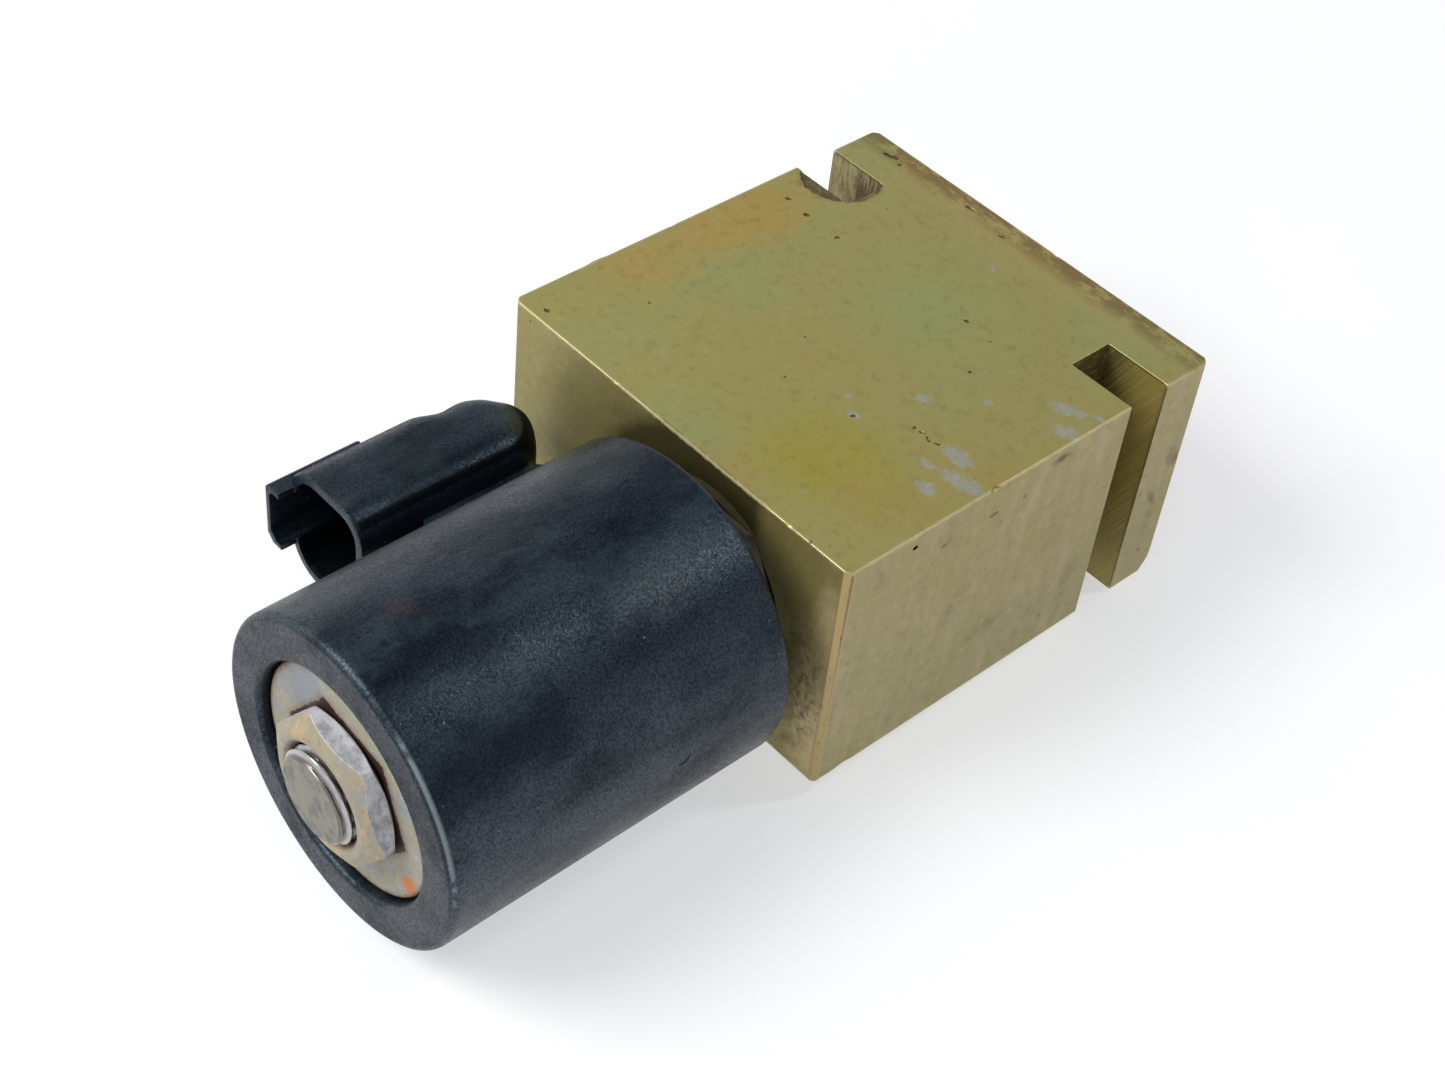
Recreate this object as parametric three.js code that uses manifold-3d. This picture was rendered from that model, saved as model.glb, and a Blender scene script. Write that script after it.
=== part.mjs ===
// A solenoid cartridge valve: a pilot-operated poppet cartridge screwed into a small
// drilled aluminium block, with a round moulded coil held on its stem by a thin nut.
//
// Millimetres, +Z up. The origin is the centre of the block's bottom face. The block's
// front face looks along -Y, and the stem and the coil stand out of it. The coil's
// connector points to -X. Everything on the stem is turned about the cartridge axis,
// a line along Y, so those pieces are modelled on the Y axis in a group placed there.

import * as THREE from "three";
import { mergeVertices } from "three/addons/utils/BufferGeometryUtils.js";
import Module from "manifold-3d";

// ---- Driving dimensions ----------------------------------------------------------

const BLOCK = { width: 63.5, length: 66.7, height: 38.1, edge: 0.4, corner: 0.8 };
const FRONT = -BLOCK.length / 2;
const BACK = BLOCK.length / 2;
const LEFT = -BLOCK.width / 2;

// Open mounting slots, one in each side, for 1/4 in bolts.
const SLOT = { width: 7.2, depth: 10.45, fromBack: 12.15 };
const BOLT_MARK = { radius: 5.7, depth: 0.3, inset: 5.4 };

// The cartridge axis, off-centre to leave room for the port in the left side.
const AXIS_X = 8.3;
const AXIS_Z = BLOCK.height / 2;

const PORT = { radius: 9.7, mouth: 11.2, mouthDepth: 1.2, depth: 14.8, drill: 4.6 };
const SIDE_PORT_Y = -14;

// The stepped cavity, as depths from the front face and radii.
const CAVITY = {
  seat: 15.3,
  seatDepth: 0.4,
  mouth: 13.2,
  thread: 11.3,
  threadDepth: 13.8,
  middle: 9.3,
  middleDepth: 32.8,
  nose: 8.1,
  noseDepth: 44.4,
  passage: 6,
};

const HEX = { flats: 25.4, front: -38.4, chamfer: 12.2 };
const ADAPTER = { groove: 9.9, grooveWidth: 2.2, boreStep: -24.6, back: -20.2, clearance: 0.15 };
const TUBE = { outer: 7.85, inner: 6.75, front: -85.9, back: -29.8 };
const STUD = { radius: 6.35, tip: 5.5, front: -93.9, pitch: 1.27, depth: 0.75 };
const FLANGE = { front: -88.4, back: -86.1 };
const POLE_FACE = -65.2;

const STROKE = 2.5;
const PLUNGER = { radius: 6.62, front: POLE_FACE + STROKE + 0.1, back: -27.2 };
const SPRING_POCKET = { radius: 2.7, poleDepth: 6, plungerDepth: 7 };
const SPRING = { coilRadius: 2, wire: 0.35, turns: 6 };
const OIL_GROOVE = 0.8;
const PIN = { radius: 1.6, front: -36.8, shoulder: -12.5, tip: -11.4 };
const LIFT_PIN = { radius: 0.75, halfLength: 4.7, y: -16.5, freeTravel: 0.6 };

const POPPET = { radius: 5.4, front: -20, back: 2.4, nose: 4.3, coneFront: 0.2, coneBack: 1.3 };
const PILOT = { bore: 2.4, orifice: 0.9, drain: 2, seatFront: -13, seatBack: -11.6, orificeBack: -9 };
const CAGE = { bore: 5.55, neck: 7.6, body: 7.8, nose: 7.95, front: -24.5, shoulder: -20, back: 10.6 };
const SEAT = { radius: 4.6, front: 0.5, back: 1.45 };
const WINDOW = { radius: 2.6, y: -5.5 };
const GROOVE = { radius: 6.55, front: 2, back: 7, ring: 1.2 };

const COIL = { radius: 22.1, front: -90.3, back: -38.8, edge: 1.1 };
const RECESS = { radius: 15.9, lip: 0.8 };
const SEAL = { radius: 9.45, section: 0.75, recess: 10.6, recessDepth: 1.5 };
const WASHER = { radius: 15.5, face: -88.85, step: -87.6, back: -86.2 };
const POCKET = { radius: 18.8, front: -87.7, back: -41.9 };
const FLUX = { inner: 17, outer: 18.6, bore: 8.2 };
const SPOOL = { barrel: 9.3, flange: 16.6, front: -86, back: -44.8, web: 2.5 };
const NUT = { flats: 19.05, front: -92.7, bore: 6.45, face: 8.3, turn: -8.4 };

// The connector, from the cartridge axis: x is negative outwards, z is up.
const SHROUD = { inboard: -25.3, outboard: -41, halfHeight: 9.2, wall: 1.35, inner: 4.5, outer: 5.6 };
const MOUTH = { rim: -68.45, floor: -51 };
const LATCH = { outboard: -42.9, inboard: -38.9, halfHeight: 5, front: -70.9, back: -56.7, wall: 0.9 };
const WEB = { root: -20.5, outer: -33, front: -64, back: -40, halfHeight: 5 };
const REAR_ROUND = (SHROUD.inboard - SHROUD.outboard) / 2;
const SHROUD_X = (SHROUD.inboard + SHROUD.outboard) / 2;
const SHROUD_BACK = -37.3;
const TERMINAL = { radius: 0.8, spacing: 5.2, tip: -63, legY: -46.6, legEnd: -16.9, leg: 1.4 };

const CAP = { flange: 13, flangeFront: 6.2, flangeThick: 1.7, top: 9.5, end: 8.7, length: 9, wall: 1.2 };

const ROUND = 32; // sides of a turned piece
const FINE_ROUND = 56; // sides of the coil's outer skin
const SMALL_ROUND = 16; // sides of pins and drillings
const GAP = 0.2; // clearance round a piece bedded in another

// ---- Shape helpers ---------------------------------------------------------------

const wasm = await Module();
wasm.setup();

function toSolid(geometry) {
  const bare = geometry.clone();
  bare.deleteAttribute("normal");
  bare.deleteAttribute("uv");
  const merged = mergeVertices(bare, 1e-4);
  const corners = merged.index.array;
  const kept = [];
  for (let i = 0; i < corners.length; i += 3) {
    const [a, b, c] = corners.slice(i, i + 3);
    if (a !== b && b !== c && c !== a) kept.push(a, b, c);
  }
  return new wasm.Manifold(
    new wasm.Mesh({
      numProp: 3,
      vertProperties: merged.attributes.position.array,
      triVerts: new Uint32Array(kept),
    }),
  );
}

function toGeometry(solid) {
  const mesh = solid.getMesh();
  return new THREE.BufferGeometry()
    .setAttribute("position", new THREE.BufferAttribute(mesh.vertProperties, 3))
    .setIndex(new THREE.BufferAttribute(mesh.triVerts, 1));
}

function combine(operation, first, ...others) {
  const result = others.reduce((sum, other) => sum[operation](toSolid(other)), toSolid(first));
  return toGeometry(result);
}

const join = (...pieces) => combine("add", ...pieces);
const cut = (...pieces) => combine("subtract", ...pieces);
const common = (...pieces) => combine("intersect", ...pieces);

// A profile of [radius, y] points turned about Y. It either starts and ends on the
// axis or is a closed ring.
function turned(profile, sides = ROUND) {
  const points = profile.map(([radius, y]) => new THREE.Vector2(radius, y));
  if (THREE.ShapeUtils.area(points) < 0) points.reverse();
  const onAxis = points[0].x === 0 && points.at(-1).x === 0;
  if (!onAxis) points.push(points[0].clone());
  return new THREE.LatheGeometry(points, sides);
}

function tube(outer, inner, front, back, sides = ROUND) {
  return turned([[inner, front], [outer, front], [outer, back], [inner, back]], sides);
}

function rod(radius, front, back, sides = ROUND) {
  return turned([[0, front], [radius, front], [radius, back], [0, back]], sides);
}

function oring(radius, section, y) {
  const sides = 8;
  const profile = [];
  for (let i = 0; i < sides; i += 1) {
    const angle = (i / sides) * 2 * Math.PI;
    profile.push([radius + section * Math.cos(angle), y + section * Math.sin(angle)]);
  }
  return turned(profile);
}

// Points along a quarter circle in a profile, starting at the given quarter turn.
function fillet(radius, y, size, fromQuarter) {
  return [0, 1, 2, 3].map((i) => {
    const angle = ((fromQuarter + i / 3) * Math.PI) / 2;
    return [radius + size * Math.cos(angle), y + size * Math.sin(angle)];
  });
}

// A box from its two corners.
function box([x0, y0, z0], [x1, y1, z1]) {
  return new THREE.BoxGeometry(x1 - x0, y1 - y0, z1 - z0).translate(
    (x0 + x1) / 2,
    (y0 + y1) / 2,
    (z0 + z1) / 2,
  );
}

// An outline drawn in X and Z, made solid between two values of Y.
function slab(shape, front, back) {
  return new THREE.ExtrudeGeometry(shape, {
    depth: back - front,
    bevelEnabled: false,
    curveSegments: 6,
  })
    .rotateX(Math.PI / 2)
    .translate(0, back, 0);
}

// An outline drawn in X and Y, made solid between two values of Z.
function plate(shape, bottom, top) {
  return new THREE.ExtrudeGeometry(shape, {
    depth: top - bottom,
    bevelEnabled: false,
    curveSegments: 12,
  }).translate(0, 0, bottom);
}

function hexagon(flats, turnDegrees = 0) {
  const shape = new THREE.Shape();
  for (let i = 0; i < 6; i += 1) {
    const angle = ((i * 60 + turnDegrees) * Math.PI) / 180;
    const corner = flats / 2 / Math.cos(Math.PI / 6);
    const point = [corner * Math.cos(angle), corner * Math.sin(angle)];
    if (i === 0) shape.moveTo(...point);
    else shape.lineTo(...point);
  }
  shape.closePath();
  return shape;
}

// A rectangle in X and Z with its own corner radius on the left and on the right.
function roundedSection(left, right, halfHeight, leftRadius, rightRadius) {
  const quarter = Math.PI / 2;
  const shape = new THREE.Shape();
  shape.moveTo(left + leftRadius, -halfHeight);
  shape.absarc(right - rightRadius, -halfHeight + rightRadius, rightRadius, -quarter, 0);
  shape.absarc(right - rightRadius, halfHeight - rightRadius, rightRadius, 0, quarter);
  shape.absarc(left + leftRadius, halfHeight - leftRadius, leftRadius, quarter, 2 * quarter);
  shape.absarc(left + leftRadius, -halfHeight + leftRadius, leftRadius, -2 * quarter, -quarter);
  return shape;
}

// ---- The block -------------------------------------------------------------------

// The block seen from above, with its two slots and its broken front corners.
function blockOutline() {
  const { width, corner } = BLOCK;
  const half = width / 2;
  const slotBack = BACK - SLOT.fromBack + SLOT.width / 2;
  const slotFront = slotBack - SLOT.width;
  const floor = half - SLOT.depth;
  const rightSide = [
    [half - corner, FRONT],
    [half, FRONT + corner],
    [half, slotFront],
    [floor, slotFront],
    [floor, slotBack],
    [half, slotBack],
    [half, BACK - corner],
    [half - corner, BACK],
  ];
  const leftSide = rightSide.map(([x, y]) => [-x, y]).reverse();
  return new THREE.Shape([...rightSide, ...leftSide].map(([x, y]) => new THREE.Vector2(x, y)));
}

function blockBlank() {
  const { height, edge } = BLOCK;
  return new THREE.ExtrudeGeometry(blockOutline(), {
    depth: height - 2 * edge,
    bevelThickness: edge,
    bevelSize: edge,
    bevelOffset: -edge,
    bevelSegments: 1,
  }).translate(0, 0, edge);
}

function cavityTool() {
  const c = CAVITY;
  const step = 0.7;
  return turned([
    [0, FRONT - 1],
    [c.seat, FRONT - 1],
    [c.seat, FRONT + c.seatDepth],
    [c.mouth, FRONT + c.seatDepth],
    [c.thread, FRONT + c.seatDepth + 2.1],
    [c.thread, FRONT + c.threadDepth],
    [c.middle, FRONT + c.threadDepth + step],
    [c.middle, FRONT + c.middleDepth],
    [c.nose, FRONT + c.middleDepth + step],
    [c.nose, FRONT + c.noseDepth],
    [c.passage, FRONT + c.noseDepth],
    [c.passage, BACK - PORT.depth + 1],
    [0, BACK - PORT.depth + 1],
  ]).translate(AXIS_X, 0, AXIS_Z);
}

// A straight-thread port with a tapered mouth and a drilling beyond it. The mouth is at
// y = 0 and the port goes in along +Y.
function portTool(drillDepth) {
  const { radius, mouth, mouthDepth, depth, drill } = PORT;
  const profile = [[0, -1], [mouth, -1], [mouth, 0], [radius, mouthDepth], [radius, depth]];
  if (drillDepth > depth) profile.push([drill, depth + 2.5], [drill, drillDepth]);
  profile.push([0, Math.max(drillDepth, depth)]);
  return turned(profile);
}

function manifoldBlock() {
  const sidePort = portTool(AXIS_X - LEFT - CAVITY.middle / 2)
    .rotateZ(-Math.PI / 2)
    .translate(LEFT, SIDE_PORT_Y, AXIS_Z);
  const rearPort = portTool(0)
    .rotateZ(Math.PI)
    .translate(AXIS_X, BACK, AXIS_Z);
  const markY = BACK - SLOT.fromBack;
  const boltMark = rod(BOLT_MARK.radius, -BOLT_MARK.depth, 1)
    .rotateX(Math.PI / 2)
    .translate(LEFT + BOLT_MARK.inset, markY, BLOCK.height);
  return cut(blockBlank(), cavityTool(), sidePort, rearPort, boltMark);
}

// A hollow push-in shipping plug with a wide flange. The block's face is at y = 0, and
// the plug goes in along +Y.
function portCap() {
  const { flange, flangeFront, flangeThick, top, end, length, wall } = CAP;
  const seat = flangeThick - flangeFront;
  return turned([
    [0, length - wall],
    [end - wall, length - wall],
    [top - wall, -flangeFront],
    [flange - 0.5, -flangeFront],
    [flange, -flangeFront + 0.5],
    [flange, seat],
    [top + 0.1, seat],
    [top, 0],
    [end, length],
    [0, length],
  ]);
}

// ---- The cartridge, about its own axis -------------------------------------------

function cartridgeAdapter() {
  const seat = FRONT + CAVITY.seatDepth - 0.1;
  const { groove, grooveWidth, boreStep, back, clearance } = ADAPTER;
  const chamfered = [
    [0, HEX.front],
    [HEX.chamfer, HEX.front],
    [HEX.chamfer + 2.8, HEX.front + 1.4],
    [HEX.chamfer + 2.8, seat],
    [0, seat],
  ];
  const head = common(slab(hexagon(HEX.flats), HEX.front, seat), turned(chamfered));
  const thread = CAVITY.thread - clearance;
  const shank = turned([
    [0, seat - 1],
    [groove, seat - 1],
    [groove, seat + grooveWidth],
    [thread, seat + grooveWidth],
    [thread, back - 1],
    [thread - 1, back],
    [0, back],
  ]);
  const socket = TUBE.outer + clearance;
  const neckSocket = CAGE.neck + clearance;
  const bore = turned([
    [0, HEX.front - 1],
    [socket, HEX.front - 1],
    [socket, TUBE.back + GAP],
    [TUBE.inner, TUBE.back + GAP],
    [TUBE.inner, boreStep],
    [neckSocket, boreStep],
    [neckSocket, back + 1],
    [0, back + 1],
  ]);
  return cut(join(head, shank), bore);
}

function valveCage() {
  const { bore, neck, body, nose, front, shoulder, back } = CAGE;
  const sleeve = turned([
    [bore, front],
    [neck, front],
    [neck, shoulder],
    [body, shoulder],
    [body, GROOVE.front - 1.2],
    [nose, GROOVE.front - 0.8],
    [nose, GROOVE.front],
    [GROOVE.radius, GROOVE.front],
    [GROOVE.radius, GROOVE.back],
    [nose, GROOVE.back],
    [nose, back - 0.8],
    [nose - 0.8, back],
    [SEAT.radius, back],
    [SEAT.radius, SEAT.back],
    [bore, SEAT.front],
  ]);
  const windows = [1, 3].map((eighth) =>
    rod(WINDOW.radius, -12, 12, SMALL_ROUND)
      .rotateX(Math.PI / 2)
      .rotateY((eighth * Math.PI) / 4)
      .translate(0, WINDOW.y, 0),
  );
  return cut(sleeve, ...windows);
}

function backupRing(front) {
  return tube(CAGE.nose, GROOVE.radius + 0.1, front, front + GROOVE.ring);
}

// The sliding poppet: the pilot orifice is in its middle, and a slot across it gives the
// lift pin its free travel.
function mainPoppet() {
  const { radius, front, back, nose, coneFront, coneBack } = POPPET;
  const body = turned([
    [PILOT.bore, front],
    [radius - 0.3, front],
    [radius, front + 0.3],
    [radius, coneFront],
    [nose, coneBack],
    [nose, back],
    [PILOT.drain, back],
    [PILOT.drain, PILOT.orificeBack],
    [PILOT.orifice, PILOT.orificeBack],
    [PILOT.orifice, PILOT.seatBack],
    [PILOT.bore, PILOT.seatFront],
  ]);
  const { radius: pin, y, freeTravel } = LIFT_PIN;
  const reach = radius + 1;
  const slot = box([-reach, y - pin - freeTravel, -pin - GAP], [reach, y + pin + GAP, pin + GAP]);
  return cut(body, slot);
}

function pilotPin() {
  const { radius, front, shoulder, tip } = PIN;
  const body = turned(
    [[0, front], [radius - 0.3, front], [radius, front + 0.3], [radius, shoulder], [0.5, tip], [0, tip]],
    SMALL_ROUND,
  );
  return cut(body, liftPinShape(LIFT_PIN.radius + 0.1, 4));
}

function liftPinShape(radius, halfLength) {
  return rod(radius, -halfLength, halfLength, 12).rotateZ(Math.PI / 2).translate(0, LIFT_PIN.y, 0);
}

// The armature, with the spring's pocket in front, the pilot pin's socket behind and two
// oil grooves along its sides.
function plunger() {
  const { radius, front, back } = PLUNGER;
  const pocket = SPRING_POCKET;
  const body = turned([
    [0, front + pocket.plungerDepth],
    [pocket.radius, front + pocket.plungerDepth],
    [pocket.radius, front],
    [radius - 0.4, front],
    [radius, front + 0.4],
    [radius, back - 0.4],
    [radius - 0.4, back],
    [PIN.radius + 0.15, back],
    [PIN.radius + 0.15, PIN.front - GAP],
    [0, PIN.front - GAP],
  ]);
  const grooves = [-radius, radius].map((z) =>
    box([-OIL_GROOVE, front - 1, z - OIL_GROOVE], [OIL_GROOVE, back + 1, z + OIL_GROOVE]),
  );
  return cut(body, ...grooves);
}

// The return spring, a round wire wound between the two pocket floors.
class SpringCurve extends THREE.Curve {
  getPoint(t) {
    const margin = SPRING.wire + 0.15;
    const front = POLE_FACE - SPRING_POCKET.poleDepth + margin;
    const back = PLUNGER.front + SPRING_POCKET.plungerDepth - margin;
    const angle = t * SPRING.turns * 2 * Math.PI;
    return new THREE.Vector3(
      SPRING.coilRadius * Math.cos(angle),
      front + (back - front) * t,
      SPRING.coilRadius * Math.sin(angle),
    );
  }
}

function plungerSpring() {
  const wire = new THREE.Shape().absarc(0, 0, SPRING.wire, 0, 2 * Math.PI);
  return new THREE.ExtrudeGeometry(wire, {
    steps: SPRING.turns * 12,
    curveSegments: 3,
    extrudePath: new SpringCurve(),
  });
}

// The fixed core: its body fills the tube's front end, its flange closes the tube and its
// threaded stud carries the coil nut. The thread is cut as rings at the thread's pitch.
function poleProfile() {
  const { radius, tip, front, pitch, depth } = STUD;
  const profile = [[0, front], [tip, front]];
  for (let y = front + radius - tip; y < FLANGE.front - pitch; y += pitch) {
    profile.push([radius, y + 0.1], [radius - depth, y + pitch / 2], [radius, y + pitch - 0.1]);
  }
  const core = TUBE.inner - 0.1;
  const pocket = SPRING_POCKET;
  profile.push(
    [radius - depth, FLANGE.front],
    [TUBE.outer, FLANGE.front],
    [TUBE.outer, FLANGE.back],
    [core, FLANGE.back],
    [core, POLE_FACE],
    [pocket.radius, POLE_FACE],
    [pocket.radius, POLE_FACE - pocket.poleDepth],
    [0, POLE_FACE - pocket.poleDepth],
  );
  return profile;
}

// ---- The coil, about the same axis -----------------------------------------------

function coilSkin() {
  const { radius, front, back, edge } = COIL;
  const { radius: hole, lip } = RECESS;
  const bore = FLUX.bore + 0.15;
  const sealFloor = back - SEAL.recessDepth;
  const profile = [
    ...fillet(hole + lip, front + lip, lip, 2),
    ...fillet(radius - edge, front + edge, edge, 3),
    ...fillet(radius - edge, back - edge, edge, 0),
    [SEAL.recess, back],
    [SEAL.recess, sealFloor],
    [bore, sealFloor],
    [bore, POCKET.back],
    [POCKET.radius, POCKET.back],
    [POCKET.radius, POCKET.front],
    [hole, POCKET.front],
  ];
  return turned(profile, FINE_ROUND);
}

// The connector's outer form: a round-cornered shroud with a half-round back end.
function connectorForm() {
  const { inboard, outboard, halfHeight, inner, outer } = SHROUD;
  const plan = new THREE.Shape();
  plan.moveTo(outboard, MOUTH.rim);
  plan.lineTo(inboard, MOUTH.rim);
  plan.absarc(SHROUD_X, SHROUD_BACK - REAR_ROUND, REAR_ROUND, 0, Math.PI);
  const section = roundedSection(outboard, inboard, halfHeight, outer, inner);
  return common(
    slab(section, MOUTH.rim, SHROUD_BACK + 1),
    plate(plan, -halfHeight - 1, halfHeight + 1),
  );
}

// The web that carries the connector on the coil, flared where it joins the round skin.
function connectorWeb() {
  const { root, outer, front, back, halfHeight } = WEB;
  const flare = 2;
  const waist = root - 5.5;
  const plan = new THREE.Shape();
  plan.moveTo(root, front);
  plan.lineTo(root, back);
  plan.lineTo(root - flare, back);
  plan.quadraticCurveTo(waist, back, waist - flare, back - flare);
  plan.lineTo(outer, back - 2 * flare);
  plan.lineTo(outer, front + 3 * flare);
  plan.lineTo(waist, front + 3 * flare);
  plan.quadraticCurveTo(root - 1.5 * flare, front + 2.5 * flare, root - flare, front);
  return plate(plan, -halfHeight, halfHeight);
}

// The latch guard, a U-shaped channel on the shroud's outer side, open to its inside.
function latchSection(inset) {
  const { inboard, halfHeight } = LATCH;
  const outboard = LATCH.outboard + inset;
  const edge = halfHeight - inset;
  const smallBevel = 0.7;
  const bevel = 1.2;
  return new THREE.Shape(
    [
      [inboard + inset, -edge],
      [inboard + inset, edge],
      [outboard + smallBevel, edge],
      [outboard, edge - smallBevel],
      [outboard, -edge + bevel],
      [outboard + bevel, -edge],
    ].map(([x, z]) => new THREE.Vector2(x, z)),
  );
}

function terminalShape(side, grow) {
  const z = (side * TERMINAL.spacing) / 2;
  const half = TERMINAL.leg / 2 + grow;
  const { legY, legEnd, radius, tip } = TERMINAL;
  const front = tip - grow;
  const blade = turned(
    [[0, front], [0.35 + grow, front], [radius + grow, front + 0.7], [radius + grow, legY], [0, legY]],
    SMALL_ROUND,
  ).translate(SHROUD_X, 0, z);
  const leg = box([SHROUD_X - half, legY - half, z - half], [legEnd + grow, legY + half, z + half]);
  return join(blade, leg);
}

function coilHousing() {
  const { outboard, inboard, halfHeight, wall, inner, outer } = SHROUD;
  const left = outboard + wall;
  const right = inboard - wall;
  const section = roundedSection(left, right, halfHeight - wall, outer - wall, inner - wall);
  const hollow = slab(section, MOUTH.rim - 1, MOUTH.floor);
  const guard = slab(latchSection(0), LATCH.front, LATCH.back);
  const latchWay = slab(latchSection(LATCH.wall), LATCH.front - 1, LATCH.back - LATCH.wall);
  const openEnd = box(
    [LATCH.inboard - LATCH.wall, LATCH.front - 1, -halfHeight],
    [LATCH.inboard + 3, MOUTH.rim, halfHeight],
  );
  const core = rod((POCKET.radius + COIL.radius) / 2, COIL.front, COIL.back);
  const connector = cut(join(connectorForm(), connectorWeb(), guard), hollow, latchWay, openEnd, core);
  return cut(join(coilSkin(), connector), terminalShape(-1, GAP), terminalShape(1, GAP));
}

function coilBobbin() {
  const { barrel, flange, front, back, web } = SPOOL;
  return turned([
    [FLUX.bore, front],
    [flange, front],
    [flange, front + web],
    [barrel, front + web],
    [barrel, back - web],
    [flange, back - web],
    [flange, back],
    [FLUX.bore, back],
  ]);
}

function copperWinding() {
  const { barrel, flange, front, back, web } = SPOOL;
  const bulge = flange - 0.3;
  const start = front + web + 0.1;
  const end = back - web - 0.1;
  return turned([
    [barrel + 0.15, start],
    [bulge - 0.4, start],
    [bulge, start + 1],
    [bulge, end - 1],
    [bulge - 0.4, end],
    [barrel + 0.15, end],
  ]);
}

function fluxTube() {
  const { inner, outer } = FLUX;
  const reach = TERMINAL.spacing / 2 + TERMINAL.leg;
  const notch = box([-outer - 1, TERMINAL.legY - 1.2, -reach], [-inner + 3, SPOOL.back + 1, reach]);
  return cut(tube(outer, inner, WASHER.back + 0.1, SPOOL.back + 0.05), notch);
}

function frontFluxWasher() {
  const { radius, face, step, back } = WASHER;
  return turned([
    [FLUX.bore, face],
    [radius - 0.2, face],
    [radius, face + 0.2],
    [radius, step],
    [FLUX.outer, step],
    [FLUX.outer, back],
    [FLUX.bore, back],
  ]);
}

function coilNut() {
  const { flats, front, bore, face, turn } = NUT;
  const back = WASHER.face - 0.1;
  const corner = flats / 2 / Math.cos(Math.PI / 6) + 0.2;
  const slope = Math.tan(Math.PI / 6);
  const chamfer = turned([
    [bore + 0.7, front],
    [face, front],
    [corner, front + (corner - face) * slope],
    [corner, back],
    [bore, back],
    [bore, front + 0.7],
  ]);
  return common(slab(hexagon(flats, turn), front, back), chamfer);
}

// ---- The assembly ----------------------------------------------------------------

const FINISH = {
  dichromate: { color: 0x968c55, roughness: 0.42, metalness: 0.75 },
  steel: { color: 0xa5a5a8, roughness: 0.35, metalness: 0.9 },
  zinc: { color: 0xb9af91, roughness: 0.6, metalness: 0.55 },
  moulding: { color: 0x23282f, roughness: 0.45, metalness: 0 },
  nylon: { color: 0xc9c0a4, roughness: 0.5, metalness: 0 },
  copper: { color: 0xb36a3c, roughness: 0.35, metalness: 0.9 },
  rubber: { color: 0x1a1a1a, roughness: 0.8, metalness: 0 },
  ptfe: { color: 0xe8e6df, roughness: 0.6, metalness: 0 },
  tin: { color: 0xc8c9cb, roughness: 0.3, metalness: 0.9 },
  cap: { color: 0xd6392c, roughness: 0.5, metalness: 0 },
};

function piece(name, finish, geometry) {
  const mesh = new THREE.Mesh(geometry, new THREE.MeshStandardMaterial(FINISH[finish]));
  mesh.name = name;
  return mesh;
}

const cartridge = new THREE.Group();
cartridge.position.set(AXIS_X, 0, AXIS_Z);
cartridge.add(
  piece("cartridge_adapter", "steel", cartridgeAdapter()),
  piece("valve_cage", "steel", valveCage()),
  piece("adapter_oring", "rubber", oring(10.95, 0.9, FRONT + CAVITY.seatDepth + 1)),
  piece("cage_oring", "rubber", oring(7.36, 0.7, (GROOVE.front + GROOVE.back) / 2)),
  piece("backup_ring_front", "ptfe", backupRing(GROOVE.front + 0.1)),
  piece("backup_ring_rear", "ptfe", backupRing(GROOVE.back - GROOVE.ring - 0.1)),
  piece("main_poppet", "steel", mainPoppet()),
  piece("lift_pin", "steel", liftPinShape(LIFT_PIN.radius, LIFT_PIN.halfLength)),
  piece("pilot_pin", "steel", pilotPin()),
  piece("plunger", "steel", plunger()),
  piece("plunger_spring", "steel", plungerSpring()),
  piece("guide_tube", "steel", tube(TUBE.outer, TUBE.inner, TUBE.front, TUBE.back)),
  piece("pole_piece", "steel", turned(poleProfile())),
);

const coil = new THREE.Group();
coil.position.copy(cartridge.position);
coil.add(
  piece("coil_housing", "moulding", coilHousing()),
  piece("coil_bobbin", "nylon", coilBobbin()),
  piece("copper_winding", "copper", copperWinding()),
  piece("flux_tube", "zinc", fluxTube()),
  piece("front_flux_washer", "zinc", frontFluxWasher()),
  piece("rear_flux_washer", "zinc", tube(FLUX.outer, FLUX.bore, SPOOL.back + 0.15, POCKET.back - 0.1)),
  piece("terminal_pin_a", "tin", terminalShape(1, 0)),
  piece("terminal_pin_b", "tin", terminalShape(-1, 0)),
  piece("coil_seal", "rubber", oring(SEAL.radius, SEAL.section, COIL.back - 0.5)),
  piece("coil_nut", "zinc", coilNut()),
);

const sideCap = piece("side_port_cap", "cap", portCap());
sideCap.rotation.z = -Math.PI / 2;
sideCap.position.set(LEFT, SIDE_PORT_Y, AXIS_Z);

const rearCap = piece("rear_port_cap", "cap", portCap());
rearCap.rotation.z = Math.PI;
rearCap.position.set(AXIS_X, BACK, AXIS_Z);

const group = new THREE.Group();
group.add(piece("manifold_block", "dichromate", manifoldBlock()), cartridge, coil, sideCap, rearCap);

export default group;
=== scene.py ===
"""Looks for the solenoid cartridge valve: a slotted aluminium block with a moulded coil
held on its cartridge by a thin nut.

Sizes are in millimetres in the part's frame and turn into metres as each mesh is made.
Turned pieces are drawn as outlines of (radius, y) points about the cartridge axis.
"""

import math
from functools import reduce
from operator import or_

import bmesh
import bpy
from mathutils import Matrix, Vector, noise

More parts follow.
